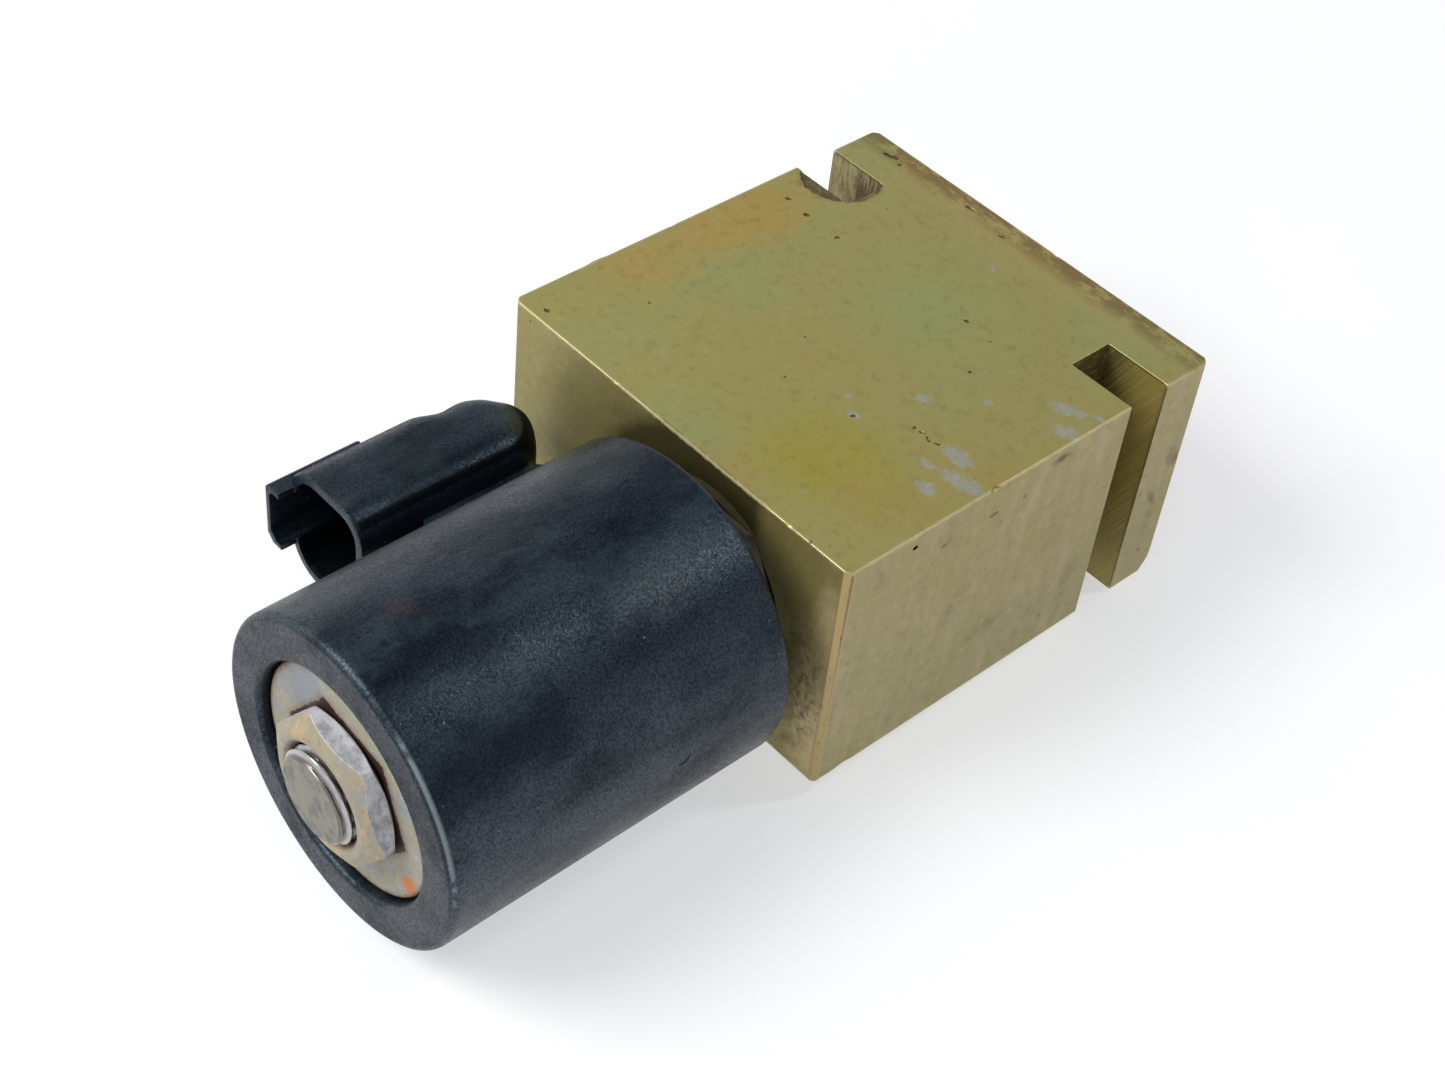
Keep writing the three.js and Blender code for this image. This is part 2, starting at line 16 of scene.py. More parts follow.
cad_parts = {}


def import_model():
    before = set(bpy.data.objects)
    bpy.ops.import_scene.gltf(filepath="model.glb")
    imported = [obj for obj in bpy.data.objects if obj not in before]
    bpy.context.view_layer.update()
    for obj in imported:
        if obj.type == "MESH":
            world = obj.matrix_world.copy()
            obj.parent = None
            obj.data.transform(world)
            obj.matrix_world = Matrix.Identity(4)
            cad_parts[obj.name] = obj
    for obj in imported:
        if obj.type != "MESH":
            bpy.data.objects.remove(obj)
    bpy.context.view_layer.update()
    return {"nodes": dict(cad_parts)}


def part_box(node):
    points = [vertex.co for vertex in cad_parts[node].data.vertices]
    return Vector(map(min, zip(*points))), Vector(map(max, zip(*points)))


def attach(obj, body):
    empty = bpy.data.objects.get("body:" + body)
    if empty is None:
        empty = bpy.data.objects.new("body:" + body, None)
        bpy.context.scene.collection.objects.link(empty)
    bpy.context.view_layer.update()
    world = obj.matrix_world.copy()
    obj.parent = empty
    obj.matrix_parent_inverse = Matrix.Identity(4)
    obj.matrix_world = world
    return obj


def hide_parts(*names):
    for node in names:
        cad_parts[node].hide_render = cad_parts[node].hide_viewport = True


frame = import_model()

MM = 0.001


# ---- Places and sizes, from the frame ---------------------------------------------


def span(node):
    """The lowest and highest corner of a CAD node, in mm."""
    low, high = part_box(node)
    return low / MM, high / MM


block_low, block_high = span("manifold_block")
WIDTH, LENGTH, HEIGHT = block_high - block_low
LEFT, RIGHT = block_low.x, block_high.x
FRONT, BACK = block_low.y, block_high.y

stud_low, stud_high = span("pole_piece")
AXIS = Vector(((stud_low.x + stud_high.x) / 2, 0, (stud_low.z + stud_high.z) / 2))
ORIGIN = Vector((0, 0, 0))

SLOT = {"width": 7.2, "depth": 10.45, "middle": BACK - 12.15}
BOLT_MARK = {"x": LEFT + 5.4, "radius": 5.75, "depth": 0.3}
PORT = {"root": 9.7, "crest": 8.75, "mouth": 11.2, "taper": 1.6, "pitch": 1.588, "depth": 13.6}
side_cap_low, side_cap_high = span("side_port_cap")
SIDE_PORT = {
    "where": Vector((LEFT, (side_cap_low.y + side_cap_high.y) / 2, AXIS.z)), "degrees": -90,
}
REAR_PORT = {"where": Vector((AXIS.x, BACK, AXIS.z)), "degrees": 180}

coil_low, coil_high = span("coil_housing")
COIL_LENGTH = 51.5
COIL_FRONT, COIL_BACK = coil_low.y, coil_low.y + COIL_LENGTH
COIL_RADIUS = coil_high.x - AXIS.x


# ---- Mesh helpers -----------------------------------------------------------------


def make_piece(name, points, faces, sharp=30):
    """A mesh object from points in mm, shaded smooth except at edges sharper than this."""
    mesh = bpy.data.meshes.new(name)
    mesh.from_pydata([Vector(p) * MM for p in points], [], faces)
    mesh.validate()
    piece = bpy.data.objects.new(name, mesh)
    bpy.context.scene.collection.objects.link(piece)
    face_outwards(piece)
    shade(piece, sharp)
    return piece


def face_outwards(piece):
    work = bmesh.new()
    work.from_mesh(piece.data)
    bmesh.ops.recalc_face_normals(work, faces=work.faces)
    work.to_mesh(piece.data)
    work.free()


def shade(piece, sharp=30):
    piece.data.shade_smooth()
    piece.data.set_sharp_from_angle(angle=math.radians(sharp))


def apply_modifiers(piece):
    graph = bpy.context.evaluated_depsgraph_get()
    made = bpy.data.meshes.new_from_object(piece.evaluated_get(graph))
    piece.modifiers.clear()
    piece.data = made


def combine(operation, piece, *tools, sharp=30):
    """Cuts the tools from a piece, or joins them to it, and removes them."""
    for tool in tools:
        step = piece.modifiers.new(operation, "BOOLEAN")
        step.operation = operation
        step.solver = "EXACT"
        step.object = tool
    apply_modifiers(piece)
    for tool in tools:
        bpy.data.objects.remove(tool)
    shade(piece, sharp)
    return piece


def bevel(piece, width, angle=40, segments=2, sharp=30):
    """Rounds every edge that is sharper than the angle."""
    step = piece.modifiers.new("bevel", "BEVEL")
    step.width = width * MM
    step.segments = segments
    step.limit_method = "ANGLE"
    step.angle_limit = math.radians(angle)
    step.use_clamp_overlap = True
    apply_modifiers(piece)
    shade(piece, sharp)
    return piece


def soften(points, radius, closed=False, steps=3):
    """An outline with each corner turned into a short curve."""
    made = []
    count = len(points)
    for i, point in enumerate(points):
        if not closed and i in (0, count - 1):
            made.append(tuple(point))
            continue
        corner = Vector(point)
        before = Vector(points[i - 1]) - corner
        after = Vector(points[(i + 1) % count]) - corner
        start = corner + before.normalized() * min(radius, before.length * 0.45)
        end = corner + after.normalized() * min(radius, after.length * 0.45)
        for k in range(steps + 1):
            t = k / steps
            made.append(tuple((1 - t) ** 2 * start + 2 * t * (1 - t) * corner + t * t * end))
    return made


def bands(count, rings, closed=False):
    """The faces between each ring of points and the next, and between last and first."""
    faces = []
    for i in range(rings if closed else rings - 1):
        a, b = i * count, (i + 1) % rings * count
        for k in range(count):
            n = (k + 1) % count
            faces.append((a + k, a + n, b + n, b + k))
    return faces


def loft(name, rings, sharp=30):
    """A solid through rings of points, capped at both ends."""
    count = len(rings[0])
    points = [p for ring in rings for p in ring]
    caps = [tuple(range(count)), tuple(range(len(points) - count, len(points)))]
    return make_piece(name, points, bands(count, len(rings)) + caps, sharp)


def polar(radius, angle):
    """The two sides of a step of this length at this angle."""
    return radius * math.cos(angle), radius * math.sin(angle)


def circle(sides):
    """Angles evenly round a turn."""
    return [2 * math.pi * k / sides for k in range(sides)]


def turn(name, outline, sides=160, sharp=30, axis=AXIS):
    """A solid turned about a line along Y. The outline starts and ends on the axis, or is
    a closed ring when neither end is."""
    closed = outline[0][0] > 0
    inner = outline if closed else outline[1:-1]
    points = []
    for radius, y in inner:
        for angle in circle(sides):
            x, z = polar(radius, angle)
            points.append(axis + Vector((x, y, z)))
    faces = bands(sides, len(inner), closed)
    if not closed:
        for (_, y), first in ((outline[0], 0), (outline[-1], len(points) - sides)):
            points.append(axis + Vector((0, y, 0)))
            for k in range(sides):
                faces.append((first + k, first + (k + 1) % sides, len(points) - 1))
    return make_piece(name, points, faces, sharp)


def threaded(name, radius_at, stations, sides=96, sharp=50):
    """A solid along +Y whose radius is a function of the angle's share of a turn and y."""
    rings = []
    for y in stations:
        ring = []
        for k in range(sides):
            x, z = polar(radius_at(k / sides, y), 2 * math.pi * k / sides)
            ring.append((x, y, z))
        rings.append(ring)
    return loft(name, rings, sharp)


def thread_form(share, y, pitch, crest, root, flat=0.12):
    """The radius of a right-hand thread with narrow flats at its crests and roots."""
    phase = (y / pitch + share) % 1
    slope = abs(2 * phase - 1)
    slope = min(1, max(0, (slope - flat) / (1 - 2 * flat)))
    return root + (crest - root) * slope


def set_down(piece, where, degrees=0):
    """Turns a piece about Z and moves it to its place in mm."""
    turned = Matrix.Rotation(math.radians(degrees), 4, "Z")
    piece.data.transform(Matrix.Translation(where * MM) @ turned)
    face_outwards(piece)
    return piece


def steps(start, end, size):
    """Even steps of about this size from start to end."""
    count = max(1, round(abs(end - start) / size))
    return [start + (end - start) * i / count for i in range(count + 1)]


def hexagon(flats, degrees, round_corner):
    corner = flats / 2 / math.cos(math.pi / 6)
    outline = [polar(corner, math.radians(60 * i + degrees)) for i in range(6)]
    return soften(outline, round_corner, closed=True)


def section(outline, y):
    """An outline in X and Z, set about the cartridge axis."""
    return [(AXIS.x + x, y, AXIS.z + z) for x, z in outline]


def prism(name, outline, front, back):
    """Such an outline made solid along Y."""
    return loft(name, [section(outline, front), section(outline, back)])


# ---- The block --------------------------------------------------------------------


def offset(outline, inset):
    """A closed outline moved inwards by a distance; it runs anticlockwise."""
    made = []
    count = len(outline)
    for i, point in enumerate(outline):
        before = Vector(point) - Vector(outline[i - 1])
        after = Vector(outline[(i + 1) % count]) - Vector(point)
        normals = [Vector((-d.y, d.x)).normalized() for d in (before, after)]
        middle = (normals[0] + normals[1]).normalized()
        reach = inset / max(0.5, middle.dot(normals[0]))
        made.append(tuple(Vector(point) + middle * reach))
    return made


def block_outline(near_corner, far_corner):
    """The block from above. The near corner is front right and the far one rear right."""
    plain = 0.8
    front = SLOT["middle"] - SLOT["width"] / 2
    back = SLOT["middle"] + SLOT["width"] / 2
    right_floor, left_floor = RIGHT - SLOT["depth"], LEFT + SLOT["depth"]
    outline = [
        (LEFT + plain, FRONT), (RIGHT - near_corner, FRONT),
        (RIGHT, FRONT + near_corner), (RIGHT, front),
        (right_floor, front), (right_floor, back),
        (RIGHT, back), (RIGHT, BACK - far_corner),
        (RIGHT - far_corner, BACK), (LEFT + plain, BACK),
        (LEFT, BACK - plain), (LEFT, back),
        (left_floor, back), (left_floor, front),
        (LEFT, front), (LEFT, FRONT + plain),
    ]
    return soften(outline, 0.16, closed=True, steps=2)


def block_blank():
    """The bar with its slots, its edges broken and its front right corner filed off."""
    rings = []
    for z in (0, 0.8, 1.4, 2.2, 3.2, 12, 25, HEIGHT):
        near = 0.5 + 0.45 * z / HEIGHT
        far = 0.8 + 1.5 * math.exp(-((z / 1.5) ** 2))
        rings.append([(x, y, z) for x, y in block_outline(near, far)])
    return bevel(loft("block", rings), 0.34, angle=60, segments=3)


def port_tool(name, drill, reach):
    """A straight-thread port running in along +Y from y = 0, then a drilling to its reach."""
    pitch, depth, taper = PORT["pitch"], PORT["depth"], PORT["taper"]

    def radius(share, y):
        if y <= 0:
            return PORT["mouth"]
        if y > depth + 0.05:
            return drill
        cone = PORT["mouth"] - y * 1.5
        form = thread_form(share, y, pitch, PORT["root"], PORT["crest"])
        if y > depth - pitch:
            form = PORT["root"]
        return max(form, cone)

    stations = [-1, 0] + steps(0.1, taper, 0.15) + steps(taper + 0.1, depth, pitch / 10)
    stations += [depth + 0.1, reach]
    return threaded(name, radius, stations)


def cavity_tool():
    """The cartridge's stepped cavity, as radii at depths behind the front face, and the
    drilling from its end into the rear port."""
    cavity = [
        (0, -1), (15.3, -1), (15.3, 0.4), (13.2, 0.4), (11.3, 2.5), (11.3, 13.8), (9.3, 14.5),
        (9.3, 32.8), (8.1, 33.5), (8.1, 44.4), (6, 44.4),
    ]
    outline = [(radius, FRONT + depth) for radius, depth in cavity]
    return turn("cavity", outline + [(6, BACK - 13), (0, BACK - 13)], sides=96)


def bolt_mark():
    """The worn seat that a bolt head has left round the left slot, ragged at its rim."""
    middle = Vector((BOLT_MARK["x"], SLOT["middle"], 0))
    rings = []
    for z, grow in ((HEIGHT + 1, 0.25), (HEIGHT, 0.25), (HEIGHT - BOLT_MARK["depth"], 0)):
        ring = []
        for angle in circle(72):
            way = Vector((*polar(1, angle), 0))
            ragged = noise.noise(way * 2.6) * 0.35 + noise.noise(way * 7 + Vector((3, 1, z))) * 0.18
            ring.append(middle + way * (BOLT_MARK["radius"] + grow + ragged) + Vector((0, 0, z)))
        rings.append(ring)
    return loft("mark", rings)


# Nicks in the block: where each is, its half-size along X, Y and Z, and its turn about Z.
NICKS = [
    ((-25.7, 30.7, HEIGHT), (1.5, 0.5, 0.3), 20),
    ((-23.6, 30.1, HEIGHT), (0.4, 0.35, 0.2), 0),
    ((-10.5, 31.1, HEIGHT), (0.9, 0.35, 0.2), 10),
    ((-3.3, 30.0, HEIGHT), (0.7, 0.3, 0.2), 15),
    ((-27.3, -31.4, HEIGHT), (0.55, 0.4, 0.22), 0),
    ((-26.9, 11.4, HEIGHT), (0.5, 0.4, 0.2), 30),
    ((-22.7, 10.9, HEIGHT), (0.55, 0.45, 0.25), 0),
    ((-16.5, 10.9, HEIGHT), (0.6, 0.3, 0.18), 70),
    ((17.7, -8.3, HEIGHT), (0.25, 0.5, 0.2), 0),
    ((18.9, -8.2, HEIGHT), (0.5, 0.25, 0.2), 20),
    ((20.3, -8.5, HEIGHT), (0.6, 0.25, 0.22), -20),
    ((21.6, -8.2, HEIGHT), (0.6, 0.2, 0.16), 25),
    ((11.5, -13.1, HEIGHT), (0.45, 0.3, 0.2), 45),
    ((6.7, 12.5, HEIGHT), (0.5, 0.35, 0.15), 0),
    ((14.3, 5.3, HEIGHT), (0.35, 0.3, 0.18), 0),
    ((RIGHT, -8.1, HEIGHT - 0.1), (0.5, 0.9, 0.45), 0),
    ((RIGHT, 4.5, 36.4), (0.1, 1.1, 0.6), 0),
    ((RIGHT, -7.4, 33.2), (0.12, 0.9, 0.4), 0),
    ((RIGHT, -16.2, 33.0), (0.1, 0.7, 0.35), 0),
    ((RIGHT, -21.9, 36.0), (0.08, 0.5, 0.3), 0),
    ((RIGHT, -1.7, 33.1), (0.08, 0.4, 0.45), 0),
    ((RIGHT, 8.6, 4.9), (0.08, 0.6, 0.3), 0),
    ((RIGHT, 31.6, 21.4), (0.07, 0.7, 1.1), 0),
    ((RIGHT, 28.8, 15.8), (0.06, 0.5, 0.7), 0),
    ((RIGHT, -27.9, 0.1), (0.25, 1.4, 0.3), 0),
    ((RIGHT, -9.0, 0.0), (0.2, 0.9, 0.25), 0),
    ((RIGHT - 0.35, FRONT + 0.3, 33.9), (0.22, 0.22, 0.7), 0),
    ((RIGHT - 0.05, FRONT + 0.5, 27.0), (0.2, 0.25, 0.5), 30),
    ((RIGHT - 0.35, FRONT + 0.2, 19.4), (0.2, 0.2, 0.9), 0),
    ((RIGHT - 0.05, FRONT + 0.4, 12.6), (0.2, 0.2, 0.35), 0),
    ((RIGHT - 0.3, FRONT + 0.15, 7.4), (0.2, 0.2, 0.6), 0),
    ((-11.0, FRONT, HEIGHT), (0.9, 0.3, 0.25), 0),
    ((21.5, FRONT, HEIGHT), (0.8, 0.28, 0.25), 0),
    ((LEFT, -6.0, HEIGHT), (0.3, 0.9, 0.25), 0),
    ((LEFT, 3.0, HEIGHT - 14), (0.25, 0.8, 0.6), 0),
    ((4.0, BACK, HEIGHT), (0.8, 0.3, 0.25), 0),
    ((-21.0, BACK, 12.0), (0.7, 0.25, 0.5), 0),
]


def nick_tool():
    """Every nick as a small lumpy ball."""
    work = bmesh.new()
    for i, (where, size, degrees) in enumerate(NICKS):
        turned = Matrix.Rotation(math.radians(degrees), 4, "Z")
        scaled = Matrix.Diagonal((*[s * MM for s in size], 1))
        matrix = Matrix.Translation(Vector(where) * MM) @ turned @ scaled
        ball = bmesh.ops.create_icosphere(work, subdivisions=2, radius=1)
        for vert in ball["verts"]:
            vert.co *= 1 + 0.35 * noise.noise(vert.co * 1.7 + Vector((i, 0, 0)))
            vert.co = matrix @ vert.co
    mesh = bpy.data.meshes.new("nicks")
    work.to_mesh(mesh)
    work.free()
    tool = bpy.data.objects.new("nicks", mesh)
    bpy.context.scene.collection.objects.link(tool)
    return tool


def build_block():
    """The block with its cavity, its two ports and its marks of wear."""
    side = set_down(port_tool("side_port", 4.6, 33.4), **SIDE_PORT)
    rear = set_down(port_tool("rear_port", 5.6, 15.4), **REAR_PORT)
    block = block_blank()
    combine("DIFFERENCE", block, cavity_tool(), side, rear)
    combine("DIFFERENCE", block, bolt_mark(), nick_tool())
    return block


# ---- The coil's moulding ----------------------------------------------------------

SHROUD = {"inboard": -25.3, "outboard": -41.0, "half": 9.2, "wall": 1.35}
SHROUD_CORNERS = (5.6, 4.5)
RIM, MOUTH_FLOOR, SHROUD_END = -68.45, -51, -37.3
TAPER, SWELL, END_BEND = 1.5, 0.15, 7
LATCH = {"outboard": -42.9, "inboard": -38.9, "half": 5.0, "front": -70.9, "back": -56.7}
LATCH_WALL = 0.9
CORNER_STEPS = 8


def rounded_box(left, right, half, left_radius, right_radius):
    """A rectangle in X and Z with a corner radius for each side, anticlockwise."""
    limit = (right - left) / 2
    left_radius, right_radius = min(left_radius, limit), min(right_radius, limit)
    corners = [
        (right - right_radius, -half + right_radius, right_radius, -90),
        (right - right_radius, half - right_radius, right_radius, 0),
        (left + left_radius, half - left_radius, left_radius, 90),
        (left + left_radius, -half + left_radius, left_radius, 180),
    ]
    outline = []
    for x, z, radius, start in corners:
        for k in range(CORNER_STEPS + 1):
            across, up = polar(radius, math.radians(start + 90 * k / CORNER_STEPS))
            outline.append((x + across, z + up))
    return outline


def smooth(low, high, value):
    """0 below low and 1 above high, smooth between them."""
    t = min(1, max(0, (value - low) / (high - low)))
    return t * t * (3 - 2 * t)


def shroud_solid():
    """The connector's body: it narrows behind its mouth and is rounded at its far end."""
    rings = []
    bend_y = SHROUD_END - END_BEND
    rim = [(RIM, 0.3), (RIM + 0.09, 0.09), (RIM + 0.3, 0)]
    level = [(y, 0) for y in steps(RIM, bend_y, 1)[1:]]
    arc = [(bend_y + END_BEND * math.sin(a), 0) for a in steps(0, math.pi / 2 - 0.02, 0.09)[1:]]
    for y, inset in rim + level + arc:
        swell = SWELL * smooth(-47.5, -44.5, y)
        left = SHROUD["outboard"] + TAPER * smooth(-51, -46, y) - swell + inset
        right = SHROUD["inboard"] - inset
        half = SHROUD["half"] + swell - inset
        if y > bend_y:
            pull = END_BEND - math.sqrt(END_BEND**2 - (y - bend_y) ** 2)
            left += pull
            right -= 0.9 * pull
            half -= 0.45 * pull
        rings.append(section(rounded_box(left, right, half, *SHROUD_CORNERS), y))
    return loft("shroud", rings)


def latch_outline(inset):
    """The latch's guard in X and Z, or with an inset the way inside it."""
    outboard, half = LATCH["outboard"] + inset, LATCH["half"] - inset
    inboard = LATCH["inboard"] + inset
    return [
        (inboard, -half), (outboard + 1.2, -half), (outboard, -half + 1.2),
        (outboard, half - 0.7), (outboard + 0.7, half), (inboard, half),
    ]


def web_solid():
    """The web between the coil and its connector, with a foot flared onto the coil."""
    root, outer, front, back = -20.5, -33, -64, -40
    plan = [
        (root, front), (root, back), (root - 2, back), (root - 3.4, back - 0.5),
        (root - 4.6, back - 1.4), (root - 5.6, back - 2.8), (root - 7, back - 4),
        (outer, back - 4), (outer, front + 6), (root - 5.5, front + 6),
        (root - 3.6, front + 4.6), (root - 2.6, front + 2.6), (root - 2, front),
    ]
    rings = []
    for z, inset in ((-5, 0.35), (-4.9, 0.1), (-4.65, 0), (4.65, 0), (4.9, 0.1), (5, 0.35)):
        rings.append([(AXIS.x + x, y, AXIS.z + z) for x, y in offset(plan[::-1], inset)])
    return loft("web", rings)


def connector():
    """The connector: its shroud, hollow in front, with the latch's guard on its outboard
    side, guide ribs in its mouth and the web that joins it to the coil."""
    wall = SHROUD["wall"]
    body = shroud_solid()
    guard = prism("guard", latch_outline(0), LATCH["front"], LATCH["back"])
    bevel(guard, 0.25, segments=2)
    combine("UNION", body, guard)
    hollow_outline = rounded_box(
        SHROUD["outboard"] + wall, SHROUD["inboard"] - wall, SHROUD["half"] - wall, 4.3, 3.2
    )
    hollow = prism("hollow", hollow_outline, RIM - 4, MOUTH_FLOOR)
    way = prism("way", latch_outline(LATCH_WALL), LATCH["front"] - 1, LATCH["back"] - LATCH_WALL)
    edge = LATCH["inboard"] - LATCH_WALL
    outline = [(edge, -9), (edge + 3, -9), (edge + 3, 9), (edge, 9)]
    open_end = prism("open_end", outline, LATCH["front"] - 1, RIM)
    combine("DIFFERENCE", body, hollow, way, open_end)
    # Two guide ribs stand on the mouth's inboard wall and one on each long wall.
    ribs = []
    inner = SHROUD["inboard"] - wall
    for x0, x1, z0, z1 in (
        (inner - 0.7, inner + 0.2, 2.6, 3.5), (inner - 0.7, inner + 0.2, -3.5, -2.6),
        (-33.6, -32.7, 7.2, 8.0), (-33.6, -32.7, -8.0, -7.2),
    ):
        rib = [(x0, z0), (x1, z0), (x1, z1), (x0, z1)]
        ribs.append(prism("rib", rib, RIM + 2.6, MOUTH_FLOOR + 0.3))
    combine("UNION", body, *ribs)
    bevel(body, 0.14, angle=50, segments=2)
    return combine("UNION", body, web_solid())


def coil_skin():
    """The coil's cover: a tube with rounded edges, a recess in front for the washer, a
    seat behind for the seal and a hollow between for the winding."""
    radius, recess, seal, bore, hollow = COIL_RADIUS, 15.9, 10.6, 8.35, 18.8
    seal_seat, hollow_front, hollow_back = COIL_BACK - 1.5, -87.7, -41.9
    lip, edge = 0.8, 1.1

    def arc(radius, y, size, start):
        turned = [polar(size, math.radians(start + 90 * k / 6)) for k in range(7)]
        return [(radius + out, y + along) for out, along in turned]

    outline = arc(recess + lip, COIL_FRONT + lip, lip, 180)
    outline += arc(radius - edge, COIL_FRONT + edge, edge, 270)
    outline += [(radius, y) for y in steps(COIL_FRONT + 4, COIL_BACK - 4, 5)]
    outline += arc(radius - edge, COIL_BACK - edge, edge, 0)
    outline += [(seal, COIL_BACK), (seal, seal_seat), (bore, seal_seat), (bore, hollow_back)]
    outline += [(hollow, hollow_back), (hollow, hollow_front), (recess, hollow_front)]
    return turn("coil_moulding", outline, sides=192)


def moulding_scar(degrees, y, length, tilt):
    """A crescent scar in the coil's side, tilted from the coil's length by so much."""
    x, z = polar(1, math.radians(degrees))
    out, around, along = Vector((x, 0, z)), Vector((-z, 0, x)), Vector((0, 1, 0))
    where = AXIS + out * (COIL_RADIUS + 0.05) + along * y
    lean = math.radians(tilt)
    way = around * math.sin(lean) + along * math.cos(lean)
    across = out.cross(way)
    rings = []
    for k in range(13):
        t = -1 + k / 6
        centre = where + way * (t * length) + across * (0.55 * length * t * t)
        size = 0.24 * (1 - t * t) ** 0.5 + 0.02
        ring = [polar(size, angle) for angle in circle(8)]
        rings.append([centre + across * wide + out * high for wide, high in ring])
    return loft("scar", rings)


def build_coil_moulding():
    """The coil's moulding in one piece with its connector."""
    skin = coil_skin()
    plug = connector()
    inside, front, back = 20.4, -86, -42
    core = turn("core", [(0, front), (inside, front), (inside, back), (0, back)], sides=96)
    combine("DIFFERENCE", plug, core)
    combine("UNION", skin, plug)
    scars = moulding_scar(1.5, -55.8, 1.25, 35), moulding_scar(128, -54.9, 0.9, -30)
    combine("DIFFERENCE", skin, *scars, sharp=35)
    return skin


# ---- The nut, the washer and the cartridge ----------------------------------------

NUT_FLATS, NUT_ANGLE = 19.05, -8.4


def build_nut():
    """The thin nut, chamfered at 30 degrees on both of its faces."""
    low, high = span("coil_nut")
    face, seat, bore = 8.25, 9.2, 6.45
    front, back = low.y, high.y
    outer = NUT_FLATS / 2 / math.cos(math.pi / 6) + 0.3
    slope = math.tan(math.radians(30))
    blank = prism("nut", hexagon(NUT_FLATS, NUT_ANGLE, 0.9), front - 1, back + 1)
    profile = [
        (bore + 0.85, front), (face, front), (outer, front + (outer - face) * slope),
        (outer, back - (outer - seat) * slope), (seat, back), (bore, back),
        (bore, front + 0.85),
    ]
    form = turn("nut_form", soften(profile, 0.22, closed=True), sides=192)
    combine("INTERSECT", blank, form)
    return bevel(blank, 0.12, angle=28, segments=2, sharp=35)


def build_pole_piece():
    """The fixed core, with its flange and the threaded stud that carries the nut."""
    low, high = span("pole_piece")
    major, minor, pitch, tip = 6.35, 5.62, 1.27, 5.45
    flange, body, pocket = 7.85, 6.65, 2.7
    flange_front, flange_back, pocket_front = -88.4, -86.1, high.y - 6

    def radius(share, y):
        if y < flange_front - 1.3:
            end_cone = tip + (y - low.y) * 1.15
            return min(thread_form(share, y, pitch, major, minor), end_cone)
        if y < flange_front:
            return minor
        return flange if y <= flange_back else body

    stations = [low.y] + steps(low.y + 0.12, flange_front - 1.4, pitch / 12)
    stations += [flange_front - 1.25, flange_front - 0.01, flange_front, flange_back]
    stations += [flange_back + 0.01] + steps(flange_back + 1, high.y, 3)
    rod = threaded("pole_piece_turned", radius, stations, sides=120, sharp=40)
    mouth = high.y + 0.3
    outline = [(0, pocket_front), (pocket, pocket_front), (pocket, high.y), (pocket + 0.3, mouth)]
    tool = turn("spring_pocket", soften(outline, 0.3) + [(0, mouth)], sides=64, axis=ORIGIN)
    combine("DIFFERENCE", rod, tool, sharp=40)
    return set_down(rod, AXIS)


def build_washer():
    """The washer in the coil's recess, with a lower rim behind the moulding's lip."""
    low, high = span("front_flux_washer")
    face, step, back = low.y, low.y + 1.25, high.y
    hole, raised, rim = 8.2, 15.5, 18.6
    profile = [(hole, face), (raised, face), (raised, step), (rim, step), (rim, back), (hole, back)]
    return turn("flux_washer_front", soften(profile, 0.22, closed=True), sides=192)


SPRING = {"wire": 0.35, "pitch": 2.4, "wide": 2.0, "narrow": 1.25}


def spring_part(name, start, end, radius_at):
    """Part of the armature's return spring, between two places along the axis."""
    wire, around = SPRING["wire"], 24
    count = math.ceil((end - start) / SPRING["pitch"] * around)
    rings = []
    for i in range(count + 1):
        y = start + (end - start) * i / count
        x, z = polar(1, 2 * math.pi * (y - start) / SPRING["pitch"])
        out, along = Vector((x, 0, z)), Vector((0, 1, 0))
        middle = AXIS + out * radius_at(y) + along * y
        ring = [polar(wire, angle) for angle in circle(12)]
        rings.append([middle + out * wide + along * high for wide, high in ring])
    return loft(name, rings, sharp=50)


def build_springs():
    """The return spring in two parts, one on each of the pieces it pushes apart. Where the
    parts slide past each other the moving one is wound narrower, to fit inside."""
    low, high = span("plunger_spring")
    wide, narrow = SPRING["wide"], SPRING["narrow"]
    start, end = low.y + SPRING["wire"], high.y - SPRING["wire"]
    middle = (low.y + high.y) / 2
    overlap = middle + 3.0

    def moving_radius(y):
        return narrow + (wide - narrow) * smooth(overlap, overlap + 2.4, y)

    fixed = spring_part("return_spring_fixed", start, middle, lambda y: wide)
    return fixed, spring_part("return_spring_moving", middle + 0.8, end, moving_radius)


